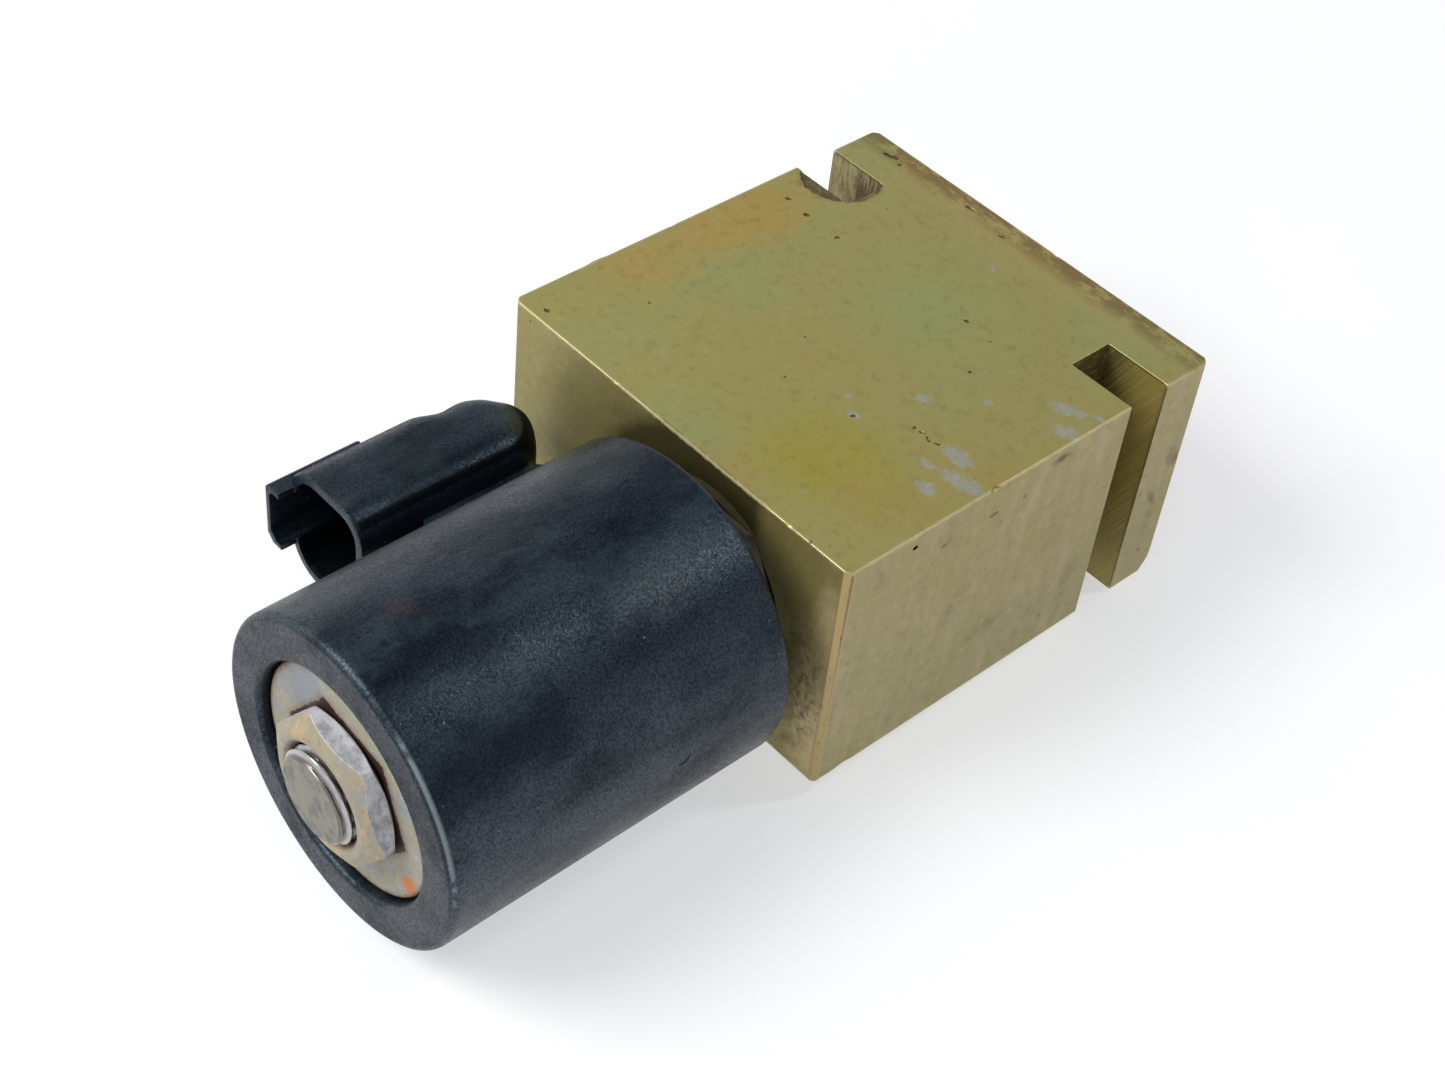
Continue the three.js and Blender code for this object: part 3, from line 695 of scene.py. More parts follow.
def build_adapter():
    """The cartridge's hex head and shank, with the shank's thread cut as a helix."""
    low, high = span("cartridge_adapter")
    flats, face, outer = 25.4, 12.2, 15
    head_back, end = FRONT + 0.3, high.y + 1
    major, minor, pitch, relief = 11.15, 10.2, 1.814, 9.9
    front_bore, neck, rear_bore = 8.0, 6.75, 7.75
    neck_front, neck_back = -29.6, -24.6
    blank = prism("head", hexagon(flats, 0, 0.8), low.y - 1, head_back)
    profile = [
        (0, low.y), (face, low.y), (outer, low.y + 1.4), (outer, head_back + 1), (0, head_back + 1),
    ]
    combine("INTERSECT", blank, turn("head_form", soften(profile, 0.2), sides=144))

    def radius(share, y):
        if y < head_back + 2.2:
            return relief
        end_cone = minor - 0.05 + (high.y - y) * 0.9
        return min(thread_form(share, y, pitch, major, minor), end_cone)

    stations = [head_back - 1, head_back + 2.1, head_back + 2.3]
    stations += steps(head_back + 2.45, high.y, pitch / 10)
    shank = set_down(threaded("shank", radius, stations, sides=96), AXIS)
    bore = [
        (0, low.y - 1), (front_bore + 0.4, low.y - 1), (front_bore, low.y + 0.5),
        (front_bore, neck_front), (neck, neck_front), (neck, neck_back), (rear_bore, neck_back),
        (rear_bore, end), (0, end),
    ]
    combine("UNION", blank, shank)
    return combine("DIFFERENCE", blank, turn("bore", bore, sides=96), sharp=40)


# ---- Port caps --------------------------------------------------------------------


def build_cap(name, port):
    """A push-in port plug running in along +Y from y = 0: a dished flange with a raised
    rim, a straight grip bar across its dish and a hollow tapered skirt."""
    outline = [
        (0, -4.8), (6.6, -4.8), (7.4, -5.5), (10.6, -5.5), (11.4, -6.2), (12.6, -6.2),
        (13, -5.8), (13, -4.5), (9.2, -4.5), (8.64, -3.8), (8.6, 0), (8.25, 8.4), (7.7, 9),
        (7.0, 9), (6.9, 8.2), (7.1, -3), (0, -3),
    ]
    cap = turn(name, soften(outline, 0.35), sides=144, axis=ORIGIN)
    ends = [[(-0.8, y, -6.9), (0.8, y, -6.9), (0.8, y, 6.9), (-0.8, y, 6.9)] for y in (-5.4, -4.6)]
    combine("UNION", cap, bevel(loft("bar", ends), 0.2))
    return set_down(cap, **port)


# ---- Materials --------------------------------------------------------------------


def colour(red, green, blue):
    """A linear colour from screen values of 0 to 255."""
    made = []
    for value in (red, green, blue):
        share = value / 255
        made.append(share / 12.92 if share <= 0.04045 else ((share + 0.055) / 1.055) ** 2.4)
    return (*made, 1)


class Field:
    """A number that varies over a surface. Fields can be used in sums; | is the higher of
    two and & the lower."""

    def __init__(self, look, socket):
        self.look = look
        self.socket = socket

    def __add__(self, other):
        return self.look.maths("ADD", self, other)

    def __sub__(self, other):
        return self.look.maths("SUBTRACT", self, other)

    def __rsub__(self, other):
        return self.look.maths("SUBTRACT", other, self)

    def __mul__(self, other):
        return self.look.maths("MULTIPLY", self, other)

    def __or__(self, other):
        return self.look.maths("MAXIMUM", self, other)

    def __and__(self, other):
        return self.look.maths("MINIMUM", self, other)

    def __abs__(self):
        return self.look.maths("ABSOLUTE", self)

    def step(self, low, high):
        """0 below low and 1 above high, smooth between them. High may be the lower one."""
        made = self.look.node("ShaderNodeMapRange", interpolation_type="SMOOTHSTEP")
        ends = (0, 1) if low < high else (1, 0)
        for socket, given in zip(made.inputs, (self, min(low, high), max(low, high), *ends)):
            self.look.feed(socket, given)
        return Field(self.look, made.outputs[0])

    def blend(self, low, high):
        """Low where this is 0 and high where it is 1. Each is a number or a field."""
        made = self.look.node("ShaderNodeMix", data_type="FLOAT")
        for index, value in ((0, self), (2, low), (3, high)):
            self.look.feed(made.inputs[index], value)
        return Field(self.look, made.outputs[0])

    def tones(self, low, high):
        """The same between two screen colours."""
        return self.look.mix(self, colour(*low), colour(*high))


class Nodes:
    """Makes and joins the nodes of one tree."""

    def __init__(self, tree):
        self.tree = tree

    def node(self, kind, **settings):
        made = self.tree.nodes.new(kind)
        for key, value in settings.items():
            setattr(made, key, value)
        return made

    def feed(self, socket, value):
        if isinstance(value, Field):
            value = value.socket
        if isinstance(value, bpy.types.NodeSocket):
            self.tree.links.new(value, socket)
        else:
            socket.default_value = value

    def maths(self, operation, *values):
        made = self.node("ShaderNodeMath", operation=operation)
        for socket, value in zip(made.inputs, values):
            self.feed(socket, value)
        return Field(self, made.outputs[0])

    def vector(self, operation, *values):
        made = self.node("ShaderNodeVectorMath", operation=operation)
        for socket, value in zip(made.inputs, values):
            self.feed(socket, value)
        if operation in ("LENGTH", "DOT_PRODUCT"):
            return Field(self, made.outputs["Value"])
        return made.outputs["Vector"]

    def split(self, vector):
        made = self.node("ShaderNodeSeparateXYZ")
        self.feed(made.inputs[0], vector)
        return [Field(self, socket) for socket in made.outputs]

    def mix(self, factor, low, high):
        """A colour between two others."""
        made = self.node("ShaderNodeMix", data_type="RGBA")
        self.feed(made.inputs["Factor"], factor)
        self.feed(made.inputs[6], low)
        self.feed(made.inputs[7], high)
        return made.outputs[2]


class Look(Nodes):
    """One node material. Places and scales are in mm in the part's frame."""

    def __init__(self, name):
        self.material = bpy.data.materials.new(name)
        self.material.use_nodes = True
        super().__init__(self.material.node_tree)
        self.tree.nodes.clear()
        self.surface = self.node("ShaderNodeBsdfPrincipled")
        output = self.node("ShaderNodeOutputMaterial")
        self.tree.links.new(self.surface.outputs[0], output.inputs["Surface"])
        place = self.node("ShaderNodeTexCoord").outputs["Object"]
        self.place = self.vector("MULTIPLY", place, (1 / MM,) * 3)
        self.x, self.y, self.z = self.split(self.place)

    def noise(self, size, detail=3, rough=0.55, stretch=(1, 1, 1), shift=0):
        """Noise of about 0.5, with features of about this size; a stretch draws it out."""
        made = self.node("ShaderNodeTexNoise", noise_dimensions="3D")
        scale = [1 / (size * s) for s in stretch]
        moved = self.vector("MULTIPLY_ADD", self.place, scale, (shift, shift * 0.7, shift * 1.3))
        self.feed(made.inputs["Vector"], moved)
        made.inputs["Scale"].default_value = 1
        made.inputs["Detail"].default_value = detail
        made.inputs["Roughness"].default_value = rough
        return Field(self, made.outputs["Fac"])

    def specks(self, size, share, shift=0):
        """Sparse round dots: the share is how much of each cell a dot fills."""
        made = self.node("ShaderNodeTexVoronoi", feature="F1")
        moved = self.vector("MULTIPLY_ADD", self.place, (1 / size,) * 3, (shift,) * 3)
        self.feed(made.inputs["Vector"], moved)
        made.inputs["Scale"].default_value = 1
        return Field(self, made.outputs["Distance"]).step(share, share * 0.5)

    def paint(self, mask, shade, share=None):
        """Lays a screen colour, or another pattern, over the base where the mask is 1."""
        if share is not None:
            mask = mask * share
        if isinstance(shade, tuple):
            shade = colour(*shade)
        self.base = self.mix(mask, self.base, shade)

    def spot(self, where, size, turned=(0, 0, 0), ragged=0.5, soft=0.3, grain=2.0):
        """A mask over an ellipsoid, ragged at its edge."""
        made = self.node("ShaderNodeMapping", vector_type="TEXTURE")
        self.feed(made.inputs["Vector"], self.place)
        made.inputs["Location"].default_value = where
        made.inputs["Rotation"].default_value = [math.radians(a) for a in turned]
        made.inputs["Scale"].default_value = size
        wander = (self.noise(grain, 3, 0.6) - 0.5) * (ragged * 2)
        return (self.vector("LENGTH", made.outputs[0]) + wander).step(1, 1 - soft)

    def radius(self):
        """The distance from the cartridge axis."""
        across, up = self.x - AXIS.x, self.z - AXIS.z
        return self.maths("SQRT", across * across + up * up)

    def hexagon(self, degrees):
        """The distance from the cartridge axis, measured square to the sides of a hexagon
        with a corner at this angle."""
        offset = self.vector("SUBTRACT", self.place, tuple(AXIS))
        reach = []
        for k in range(3):
            angle = math.radians(degrees + 30 + 60 * k)
            way = (math.cos(angle), 0, math.sin(angle))
            reach.append(abs(self.vector("DOT_PRODUCT", offset, way)))
        return reduce(or_, reach)

    def facing(self, way):
        """How far the surface faces this way, from -1 to 1, in the part's own frame."""
        turned = self.node("ShaderNodeVectorTransform", vector_type="NORMAL",
                           convert_from="WORLD", convert_to="OBJECT")
        self.feed(turned.inputs[0], self.node("ShaderNodeNewGeometry").outputs["Normal"])
        return self.vector("DOT_PRODUCT", turned.outputs[0], way)

    def finish(self, rough, metal=0.0, height=None, depth=0.05, strength=1.0, extra=None):
        """Joins the base and the rest up to the surface. The depth of its relief is in mm."""
        self.feed(self.surface.inputs["Base Color"], self.base)
        self.feed(self.surface.inputs["Roughness"], rough)
        self.feed(self.surface.inputs["Metallic"], metal)
        for name, value in (extra or {}).items():
            self.feed(self.surface.inputs[name], value)
        if height is not None:
            bump = self.node("ShaderNodeBump")
            self.feed(bump.inputs["Height"], height)
            bump.inputs["Distance"].default_value = depth * MM
            bump.inputs["Strength"].default_value = strength
            self.feed(self.surface.inputs["Normal"], bump.outputs[0])
        return self.material


def block_film(look):
    """The film's drift between yellow, green and tawny, and its tint on each face, with the top
    face painted lighter as painted light. Gives the masks of the right and front faces and the
    mottling."""
    green = look.noise(26, 2, 0.5).step(0.42, 0.62)
    look.base = (green * 0.65).tones((160, 151, 91), (150, 156, 100))
    look.paint(look.noise(19, 3, 0.5, shift=7).step(0.55, 0.72), (166, 143, 80), 0.55)
    for where, size, ragged, soft, grain, tint, share in (
        ((-27, -2, HEIGHT), (9, 27, 9), 0.5, 0.9, 12, (176, 145, 74), 0.75),
        ((2, 10, HEIGHT), (19, 17, 8), 0.5, 0.9, 12, (147, 158, 102), 0.55),
        ((15, -21, HEIGHT), (15, 12, 8), 0.4, 0.8, 9, (160, 149, 58), 0.75),
    ):
        look.paint(look.spot(where, size, ragged=ragged, soft=soft, grain=grain), tint, share)
    side = look.facing((1, 0, 0)).step(0.6, 0.9)
    look.paint(side, (149, 136, 94), 0.75)
    drawn = look.noise(3.2, 4, 0.6, stretch=(1, 1, 4), shift=22)
    look.paint(drawn.step(0.48, 0.66) * side, (142, 134, 74), 0.45)
    look.paint(drawn.step(0.5, 0.36) * side, (172, 152, 116), 0.4)
    front = look.facing((0, -1, 0)).step(0.6, 0.9)
    look.paint(front, (130, 115, 66), 0.6)
    mottle = look.noise(1.6, 5, 0.65, shift=3)
    look.paint(mottle.step(0.52, 0.7), (116, 108, 62), 0.32)
    look.paint(mottle.step(0.46, 0.3), (176, 168, 116), 0.28)
    rear = look.spot((4, BACK, HEIGHT), (40, 10, 5), ragged=0.4, soft=0.8, grain=6)
    look.paint(rear, (176, 154, 98), 0.65)
    # Faces that look up are painted lighter: painted light from above, not a change in the film.
    up = look.facing((0, 0, 1)).step(0.6, 0.9)
    look.paint(up, look.vector("MULTIPLY", look.base, (1.22, 1.2, 1.14)))
    return side, front, mottle


def face_stains(look, side, front):
    """Marks on the flat faces: a pale strip of painted light and a rough brown patch on the front
    one, by its right corner, and scrapes and faint clouds on the right one."""
    # The pale strip is painted light: it brightens the front face by its right corner, where the
    # coil's shadow falls.
    strip = look.spot((31.5, FRONT, 17), (7.5, 2, 24), ragged=0.3, soft=0.5, grain=4)
    look.paint(strip * front, (198, 178, 130), 0.85)
    scrapes = (
        look.spot((RIGHT, 30.8, 22.3), (0.6, 1.5, 2.6), (20, 0, 0), 0.7, 0.5, 1.3)
        | look.spot((RIGHT, 28.7, 15.6), (0.6, 0.8, 3.0), (35, 0, 0), 0.7, 0.5, 1.3)
        | look.spot((RIGHT, 4.5, 36.2), (0.6, 2.0, 0.9), (0, 0, 0), 0.6, 0.5, 1.3)
    )
    look.paint(scrapes, (112, 92, 66), 0.6)
    patch = look.spot((27.5, FRONT, 14), (4.5, 2, 19), ragged=0.5, soft=0.9, grain=3) * front
    speckle = look.noise(0.75, 5, 0.75, stretch=(1, 1, 1.6), shift=21)
    look.paint(patch * speckle.step(0.46, 0.58), (92, 72, 40), 0.6)
    look.paint(patch * speckle.step(0.44, 0.34), (206, 190, 150), 0.5)
    clouds = look.noise(8, 5, 0.68, shift=11).step(0.54, 0.74)
    look.paint(clouds * side, (108, 96, 66), 0.5)


def coil_soot_and_shade(look):
    """Soot and painted shade on the front face, about the coil and above it."""
    drift = look.noise(3, 4, 0.7) * 3
    # Painted shade and soot: a dark band round the coil, except on its right, stands for the shade
    # where the coil meets the face.
    halo = (look.radius() + drift).step(COIL_RADIUS + 4.8, COIL_RADIUS - 0.4)
    halo = halo * look.x.step(19, 15)
    # A dark patch above the coil: soot and painted shade.
    smoke_and_shade = look.spot((-7, FRONT, 33), (11, 3, 9), ragged=0.6, soft=0.9, grain=4)
    near_coil = look.radius().step(COIL_RADIUS + 4.5, COIL_RADIUS + 0.5)
    flecks = look.noise(1.3, 5, 0.75, shift=15).step(0.5, 0.6) * near_coil
    halo = halo | smoke_and_shade * 0.6 | flecks * 0.35
    soot_and_shade = halo * look.y.step(FRONT + 0.6, FRONT + 0.2) * 0.88
    look.paint(soot_and_shade, (30, 24, 5))
    return soot_and_shade


def worn_edges(look, depths):
    """The film is worn through along the edges of the bar, where the pale line is also a
    painted highlight, and on its filed corner.
    """
    x, y, z = depths
    edge = (x & y) | ((x | y) & z)
    # The pale line along the edges is wear and also a painted highlight on them.
    ragged = (look.noise(1.1, 4, 0.7, shift=2) - 0.5) * 0.9
    look.paint((edge + ragged).step(0.5, 0.12), (200, 186, 138), 0.6)
    corner = (look.y - look.x + (RIGHT - FRONT)).step(1.15, 0.95)
    look.paint(corner, (168, 147, 102), 0.85)
    bitten = corner * look.noise(0.6, 4, 0.7, shift=9).step(0.58, 0.7)
    look.paint(bitten, (112, 90, 58), 0.7)


# Scuffs on the top face that show bright metal: where each is, its size and its turn.
SCUFFS = [
    ((27.0, 10.2), (3.4, 1.3), 22), ((29.8, 6.8), (2.4, 1.6), 30), ((30.6, 12.3), (1.2, 0.7), 20),
    ((25.0, -7.7), (3.1, 1.9), -4), ((28.6, -10.7), (4.2, 1.8), 10),
    ((26.4, -15.2), (2.2, 1.5), -8), ((23.5, -11.9), (1.4, 0.9), 0), ((14.3, -3.5), (1.5, 0.9), 50),
    ((20.0, 2.8), (1.0, 0.7), 0), ((0.8, 23.8), (1.2, 0.4), -30), ((11.3, -13.0), (1.2, 0.8), 0),
    ((8.2, -11.0), (0.7, 0.5), 0),
]


def scuffed_metal(look):
    """Bare metal where the top face is scuffed. Gives its relief."""
    rub = look.noise(0.3, 3, 0.6, stretch=(5, 1.2, 5), shift=4)
    bare = reduce(or_, [
        look.spot((*where, HEIGHT), (*size, 0.5), (0, 0, degrees), 0.8, 0.55, 1.0)
        for where, size, degrees in SCUFFS
    ])
    bare = bare * rub.step(0.35, 0.6).blend(0.5, 1.0)
    look.paint(bare, look.noise(0.8, 3, 0.7).tones((140, 142, 132), (204, 207, 200)), 0.8)
    return bare * rub


def seat_grime(look, depths):
    """Brown grime in the bolt seat and along the rear edge. Gives the seat's mask and the
    grime's."""
    middle = (BOLT_MARK["x"], SLOT["middle"], HEIGHT)
    seat = look.spot(middle, (6.3, 6.3, 9), ragged=0.25, soft=0.12)
    sunk = look.z.step(HEIGHT - 0.02, HEIGHT - 0.12)
    grime = seat * (sunk * look.noise(1.2, 4, 0.7).step(0.3, 0.5))
    crust = look.noise(0.8, 4, 0.75, shift=12).step(0.5, 0.68)
    look.paint(grime, crust.tones((26, 19, 10), (112, 97, 64)), 0.92)
    rim = look.spot(middle, (6.9, 6.9, 5), ragged=0.3, soft=0.3)
    rim = rim * look.y.step(SLOT["middle"] + 3.4, SLOT["middle"] + 2)
    look.paint(rim, (92, 74, 40), 0.55)
    rear = look.y.step(BACK - 5, BACK - 1.5) * depths[2].step(0.5, 0.1)
    smear = look.noise(2.2, 5, 0.75, stretch=(2, 1, 1), shift=13).step(0.38, 0.54)
    look.paint(rear * smear, (124, 98, 56), 0.7)
    return seat, grime


def slot_walls(look, depth):
    """The slots' walls: a golden film, painted darker inwards as painted shade, diagonal cutter
    marks, and torn brown and grey patches in the left one. Gives the masks of the walls and the
    marks."""
    low, high = SLOT["middle"] - SLOT["width"] / 2, SLOT["middle"] + SLOT["width"] / 2
    walls = look.y.step(low - 0.1, low + 0.2) * look.y.step(high + 0.2, high - 0.1)
    walls = walls * depth.step(0.3, 0.8) * look.z.step(HEIGHT - 0.1, HEIGHT - 0.5)
    walls = walls * depth.step(SLOT["depth"] + 0.95, SLOT["depth"] + 0.15)
    left = walls * look.x.step(0, -1)
    look.paint(walls, (140, 118, 40), 0.6)
    # Painted shade: the walls darken deeper into the slot.
    look.paint(walls * depth.step(3.5, 9.5), (52, 42, 20), 0.8)
    look.paint(left, (98, 84, 58), 0.5)

    slanted = look.node("ShaderNodeMapping", vector_type="TEXTURE")
    look.feed(slanted.inputs["Vector"], look.place)
    slanted.inputs["Rotation"].default_value = (0, math.radians(28), 0)
    streak = look.node("ShaderNodeTexNoise")
    look.feed(streak.inputs["Vector"], look.vector("MULTIPLY", slanted.outputs[0], (6.5, 0.5, 0.05)))
    streak.inputs["Scale"].default_value = 1
    marks = Field(look, streak.outputs["Fac"]).step(0.55, 0.64) * walls
    look.paint(marks, (186, 170, 108), 0.42)

    upright = look.noise(1.1, 4, 0.7, stretch=(1, 1, 6), shift=17).step(0.4, 0.62)
    blotch = look.noise(2.6, 4, 0.7, shift=18).step(0.3, 0.5)
    look.paint(left * blotch, upright.tones((58, 46, 24), (166, 154, 112)), 0.75)
    return walls, marks


def dents_and_pits(look, depths, seat):
    """Pits all over, and a darker brown in every dent below the top and right faces."""
    x, y, z = depths
    pits = look.specks(4.2, 0.07, 2) * look.noise(9, 2, 0.5, shift=6).step(0.45, 0.6)
    look.paint(pits, (70, 62, 28), 0.8)
    sunk = z.step(0.03, 0.1) * z.step(0.34, 0.3)
    look.paint(sunk * (x & y).step(0.5, 0.8) * (1 - seat), (78, 66, 32), 0.8)
    sunk = x.step(0.03, 0.09) * x.step(0.3, 0.26)
    look.paint(sunk * (y & z).step(0.5, 0.8), (104, 84, 60), 0.75)


def chromate():
    """Milled aluminium under a worn, iridescent yellow chromate film."""
    look = Look("chromate_aluminium")
    side, front, mottle = block_film(look)
    face_stains(look, side, front)
    soot_and_shade = coil_soot_and_shade(look)
    # How deep a place is behind the bar's nearer side along X, Y and Z.
    depths = [
        WIDTH / 2 - abs(look.x), LENGTH / 2 - abs(look.y), HEIGHT / 2 - abs(look.z - HEIGHT / 2),
    ]
    worn_edges(look, depths)
    relief = scuffed_metal(look)
    seat, grime = seat_grime(look, depths)
    walls, marks = slot_walls(look, depths[0])
    dents_and_pits(look, depths, seat)

    rough = (soot_and_shade | grime).blend(mottle.blend(0.34, 0.5), 0.8)
    metal = (soot_and_shade | grime | walls * 0.5).blend(0.6, 0.1)
    grain = look.noise(0.35, 4, 0.6, stretch=(1, 14, 14), shift=5)
    waves = look.noise(7, 2, 0.5, shift=1).step(0.2, 0.8)
    height = grain * 0.10 + mottle * 0.25 + waves * 0.4 + relief * -0.5 + marks * -0.4
    gloss = {"Specular IOR Level": soot_and_shade.blend(0.5, 0.05)}
    return look.finish(rough, metal, height, depth=0.10, strength=0.55, extra=gloss)


def connector_mouth(look):
    """A mask over the inside of the connector's mouth."""
    middle = AXIS.x + (SHROUD["inboard"] + SHROUD["outboard"]) / 2
    half_width, half_height, web = 6.95, 8.3, middle + 8
    across, upward = abs(look.x - middle) - half_width, abs(look.z - AXIS.z) - half_height
    inside = (across | upward).step(0.2, -0.2) * look.y.step(RIM, RIM + 1)
    return inside * look.x.step(web + 0.2, web)


def moulded_plastic():
    """Black glass-filled moulding with a fine grain and a dusty film that is also a painted
    sheen, painted highlights along its top and front edge, and painted shade in the connector's
    mouth.
    """
    look = Look("black_moulding")
    look.base = look.noise(14, 3, 0.6).tones((6, 10, 19), (12, 19, 28))
    film = look.noise(7, 5, 0.72, stretch=(1, 2.4, 1), shift=3).step(0.44, 0.64)
    # The dusty film is laid on faces that look up and to the left: dust, and a painted sheen where
    # the moulding faces the light.
    up = look.facing((-0.35, 0, 0.94)).step(0.1, 1)
    look.paint(film * up, (46, 60, 58), 0.36)
    ring = look.facing((0, -1, 0)).step(0.8, 0.95)
    look.paint(ring, (11, 15, 26), 0.5)
    specks = look.specks(2.6, 0.045, 4) * look.noise(8, 2, 0.5, shift=8).step(0.5, 0.62)
    look.paint(specks, (168, 172, 172), 0.7)
    rust = look.spot((6.5, -80, 41), (3.2, 2.6, 2), ragged=0.7, soft=0.8, grain=1.5)
    look.paint(rust, (84, 56, 46), 0.16)
    # A painted highlight: a thin pale line on the coil's front right edge.
    rim = look.radius().step(COIL_RADIUS - 0.55, COIL_RADIUS - 0.3)
    rim = rim * look.y.step(COIL_FRONT + 0.9, COIL_FRONT + 0.45)
    painted_edge_highlight = rim * look.spot((27, -90, 32), (10, 3, 15), (0, 0, 0), 0.7, 0.5, 2)
    look.paint(painted_edge_highlight, (136, 148, 152), 0.5)
    # A painted highlight: a grainy pale streak along the top of the coil.
    painted_highlight = look.spot((20, -50, 38), (4.5, 19, 4.5), (0, 0, 0), 0.5, 0.9, 4)
    bright = look.noise(0.42, 2, 0.7, shift=23).step(0.5, 0.62)
    look.paint(painted_highlight * bright, (96, 96, 84), 0.30)
    # Painted shade: the inside of the connector's mouth is painted near black, and its gloss is
    # lowered.
    mouth = connector_mouth(look)
    look.paint(mouth, (3, 5, 6), 0.8)

    glint = look.noise(0.3, 1, 0.5, shift=9).step(0.42, 0.64)
    rough = (film * 0.5).blend(glint.blend(0.42, 0.27), 0.55)
    height = look.noise(0.22, 2, 0.7) * 0.8 + look.noise(0.75, 3, 0.6, shift=5) * 0.6
    handled = look.noise(11, 4, 0.6, stretch=(1, 1.8, 1), shift=14).step(0.38, 0.62)
    salt = look.noise(0.34, 2, 0.7, shift=16).step(0.36, 0.64)
    level = handled.blend(0.24, 0.56) * ring.blend(1, 0.7) * mouth.blend(1, 0.15)
    level = level * salt.blend(0.55, 1.45)
    gloss = {"Specular IOR Level": level, "Specular Tint": (0.76, 1.02, 1.2, 1)}
    return look.finish(rough, 0.0, height, depth=0.06, strength=0.9, extra=gloss)


def weathered_zinc(name, cream, grey, amount):
    """Zinc plate gone chalky: cream where it has dulled, grey where it is still metal.
    Gives its look, the mask of the grey and the crystals' noise."""
    look = Look(name)
    patch = look.noise(3.6, 4, 0.65, shift=2).step(0.55 - amount, 0.68 - amount)
    look.base = patch.tones(cream, grey)
    crystals = look.noise(0.8, 4, 0.7, shift=5)
    look.paint(crystals.step(0.56, 0.7), (196, 196, 192), 0.35)
    look.paint(crystals.step(0.44, 0.32), (112, 96, 74), 0.45)
    return look, patch, crystals


def washer_finish():
    """Weathered zinc, with rust about the foot of the nut, darkest at its foot as painted
    shade in the crevice, and rust by the recess's wall.
    """
    look, patch, crystals = weathered_zinc(
        "weathered_washer", (146, 141, 122), (136, 137, 139), 0.06
    )
    bare = look.spot((0.6, -88.8, 27), (6.5, 3, 6), ragged=0.5, soft=0.5, grain=2.5)
    look.paint(bare, (126, 128, 131), 0.85)
    gap = look.hexagon(NUT_ANGLE) + (look.noise(1.4, 4, 0.7) - 0.5) * 0.9
    look.paint(gap.step(NUT_FLATS / 2 + 1.3, NUT_FLATS / 2 + 0.3), (128, 92, 54), 0.5)
    # Rust and painted shade: the narrow dark line at the nut's foot is the crevice's shade.
    look.paint(gap.step(NUT_FLATS / 2 + 0.5, NUT_FLATS / 2 + 0.3), (44, 18, 9), 0.95)
    bloom = look.spot((20.3, -88.8, 11.6), (1.6, 2, 2.6), (0, 30, 0), 0.6, 0.7, 1.2)
    look.paint(bloom, (188, 104, 42), 0.8)
    edge = (look.radius() + look.noise(1, 3, 0.6) * 0.8).step(15.2, 15.8)
    look.paint(edge, (112, 78, 42), 0.8)
    height = crystals * 0.8 + look.noise(0.25, 3, 0.6)
    return look.finish(patch.blend(0.72, 0.5), 0.25, height, depth=0.07, strength=0.8)


def nut_finish():
    """As the washer's, but with its sides still bright and rust in its corners, darkened as
    painted shade in the crevices against the washer and round the stud.
    """
    look, _, crystals = weathered_zinc("weathered_nut", (147, 138, 116), (138, 135, 126), 0.04)
    flats = look.facing((0, -1, 0)).step(0.7, 0.35) * look.radius().step(8.6, 9.2)
    mottle = look.noise(2.0, 5, 0.65, shift=9)
    look.paint(flats, mottle.step(0.36, 0.62).tones((172, 171, 178), (220, 222, 229)))
    ochre = look.spot((18.3, -91, 12.5), (5, 4, 4), ragged=0.8, soft=0.6, grain=1.6)
    ochre = ochre * flats * look.noise(0.9, 3, 0.6, shift=4).step(0.45, 0.6)
    look.paint(ochre, (176, 140, 66), 0.8)
    swirl = look.noise(2.4, 4, 0.6, stretch=(1, 1, 2.2), shift=7).step(0.5, 0.66)
    look.paint(swirl * 0.5 * (1 - flats), (190, 158, 116))
    back = span("coil_nut")[1].y
    # Rust and painted shade in the crevice where the nut sits on the washer.
    look.paint(look.y.step(back - 0.55, back - 0.1), (64, 30, 16), 0.85)
    # Rust and painted shade in the gap round the stud.
    mouth = look.radius() + look.noise(1.4, 3, 0.6) * 0.7
    look.paint(mouth.step(7.5, 6.9), (84, 44, 26), 0.85)
    height = crystals * 0.7 + mottle * (flats * 1.6)
    rough, metal = flats.blend(0.66, 0.42), flats.blend(0.25, 0.45)
    return look.finish(rough, metal, height, depth=0.09, strength=0.8)


def stud_finish():
    """Steel with a grey film on its end, bright on the crests of its thread."""
    look = Look("stud_steel")
    end = look.facing((0, -1, 0)).step(0.8, 0.95)
    blot = look.noise(2.6, 5, 0.65, shift=3)
    look.base = look.noise(0.8, 4, 0.6).tones((150, 150, 152), (196, 194, 190))
    look.paint(end, blot.step(0.45, 0.66).tones((124, 121, 110), (90, 88, 87)))
    root = look.radius().step(6.05, 5.75)
    look.paint(root * (1 - end), (88, 76, 66), 0.75)
    height = blot * 0.5 + look.noise(0.3, 3, 0.6)
    rough, metal = end.blend(0.3, 0.55), end.blend(0.9, 0.35)
    return look.finish(rough, metal, height, depth=0.04, strength=0.6)


def turned_steel():
    """Steel with fine lines round it from turning."""
    look = Look("turned_steel")
    lines = look.noise(0.12, 3, 0.6, stretch=(30, 1, 30))
    smear = look.noise(4, 4, 0.6)
    look.base = smear.tones((158, 158, 160), (186, 184, 180))
    look.paint(lines.step(0.55, 0.75), (120, 120, 122), 0.3)
    return look.finish(smear.blend(0.26, 0.42), 0.92, lines, depth=0.02, strength=0.5)


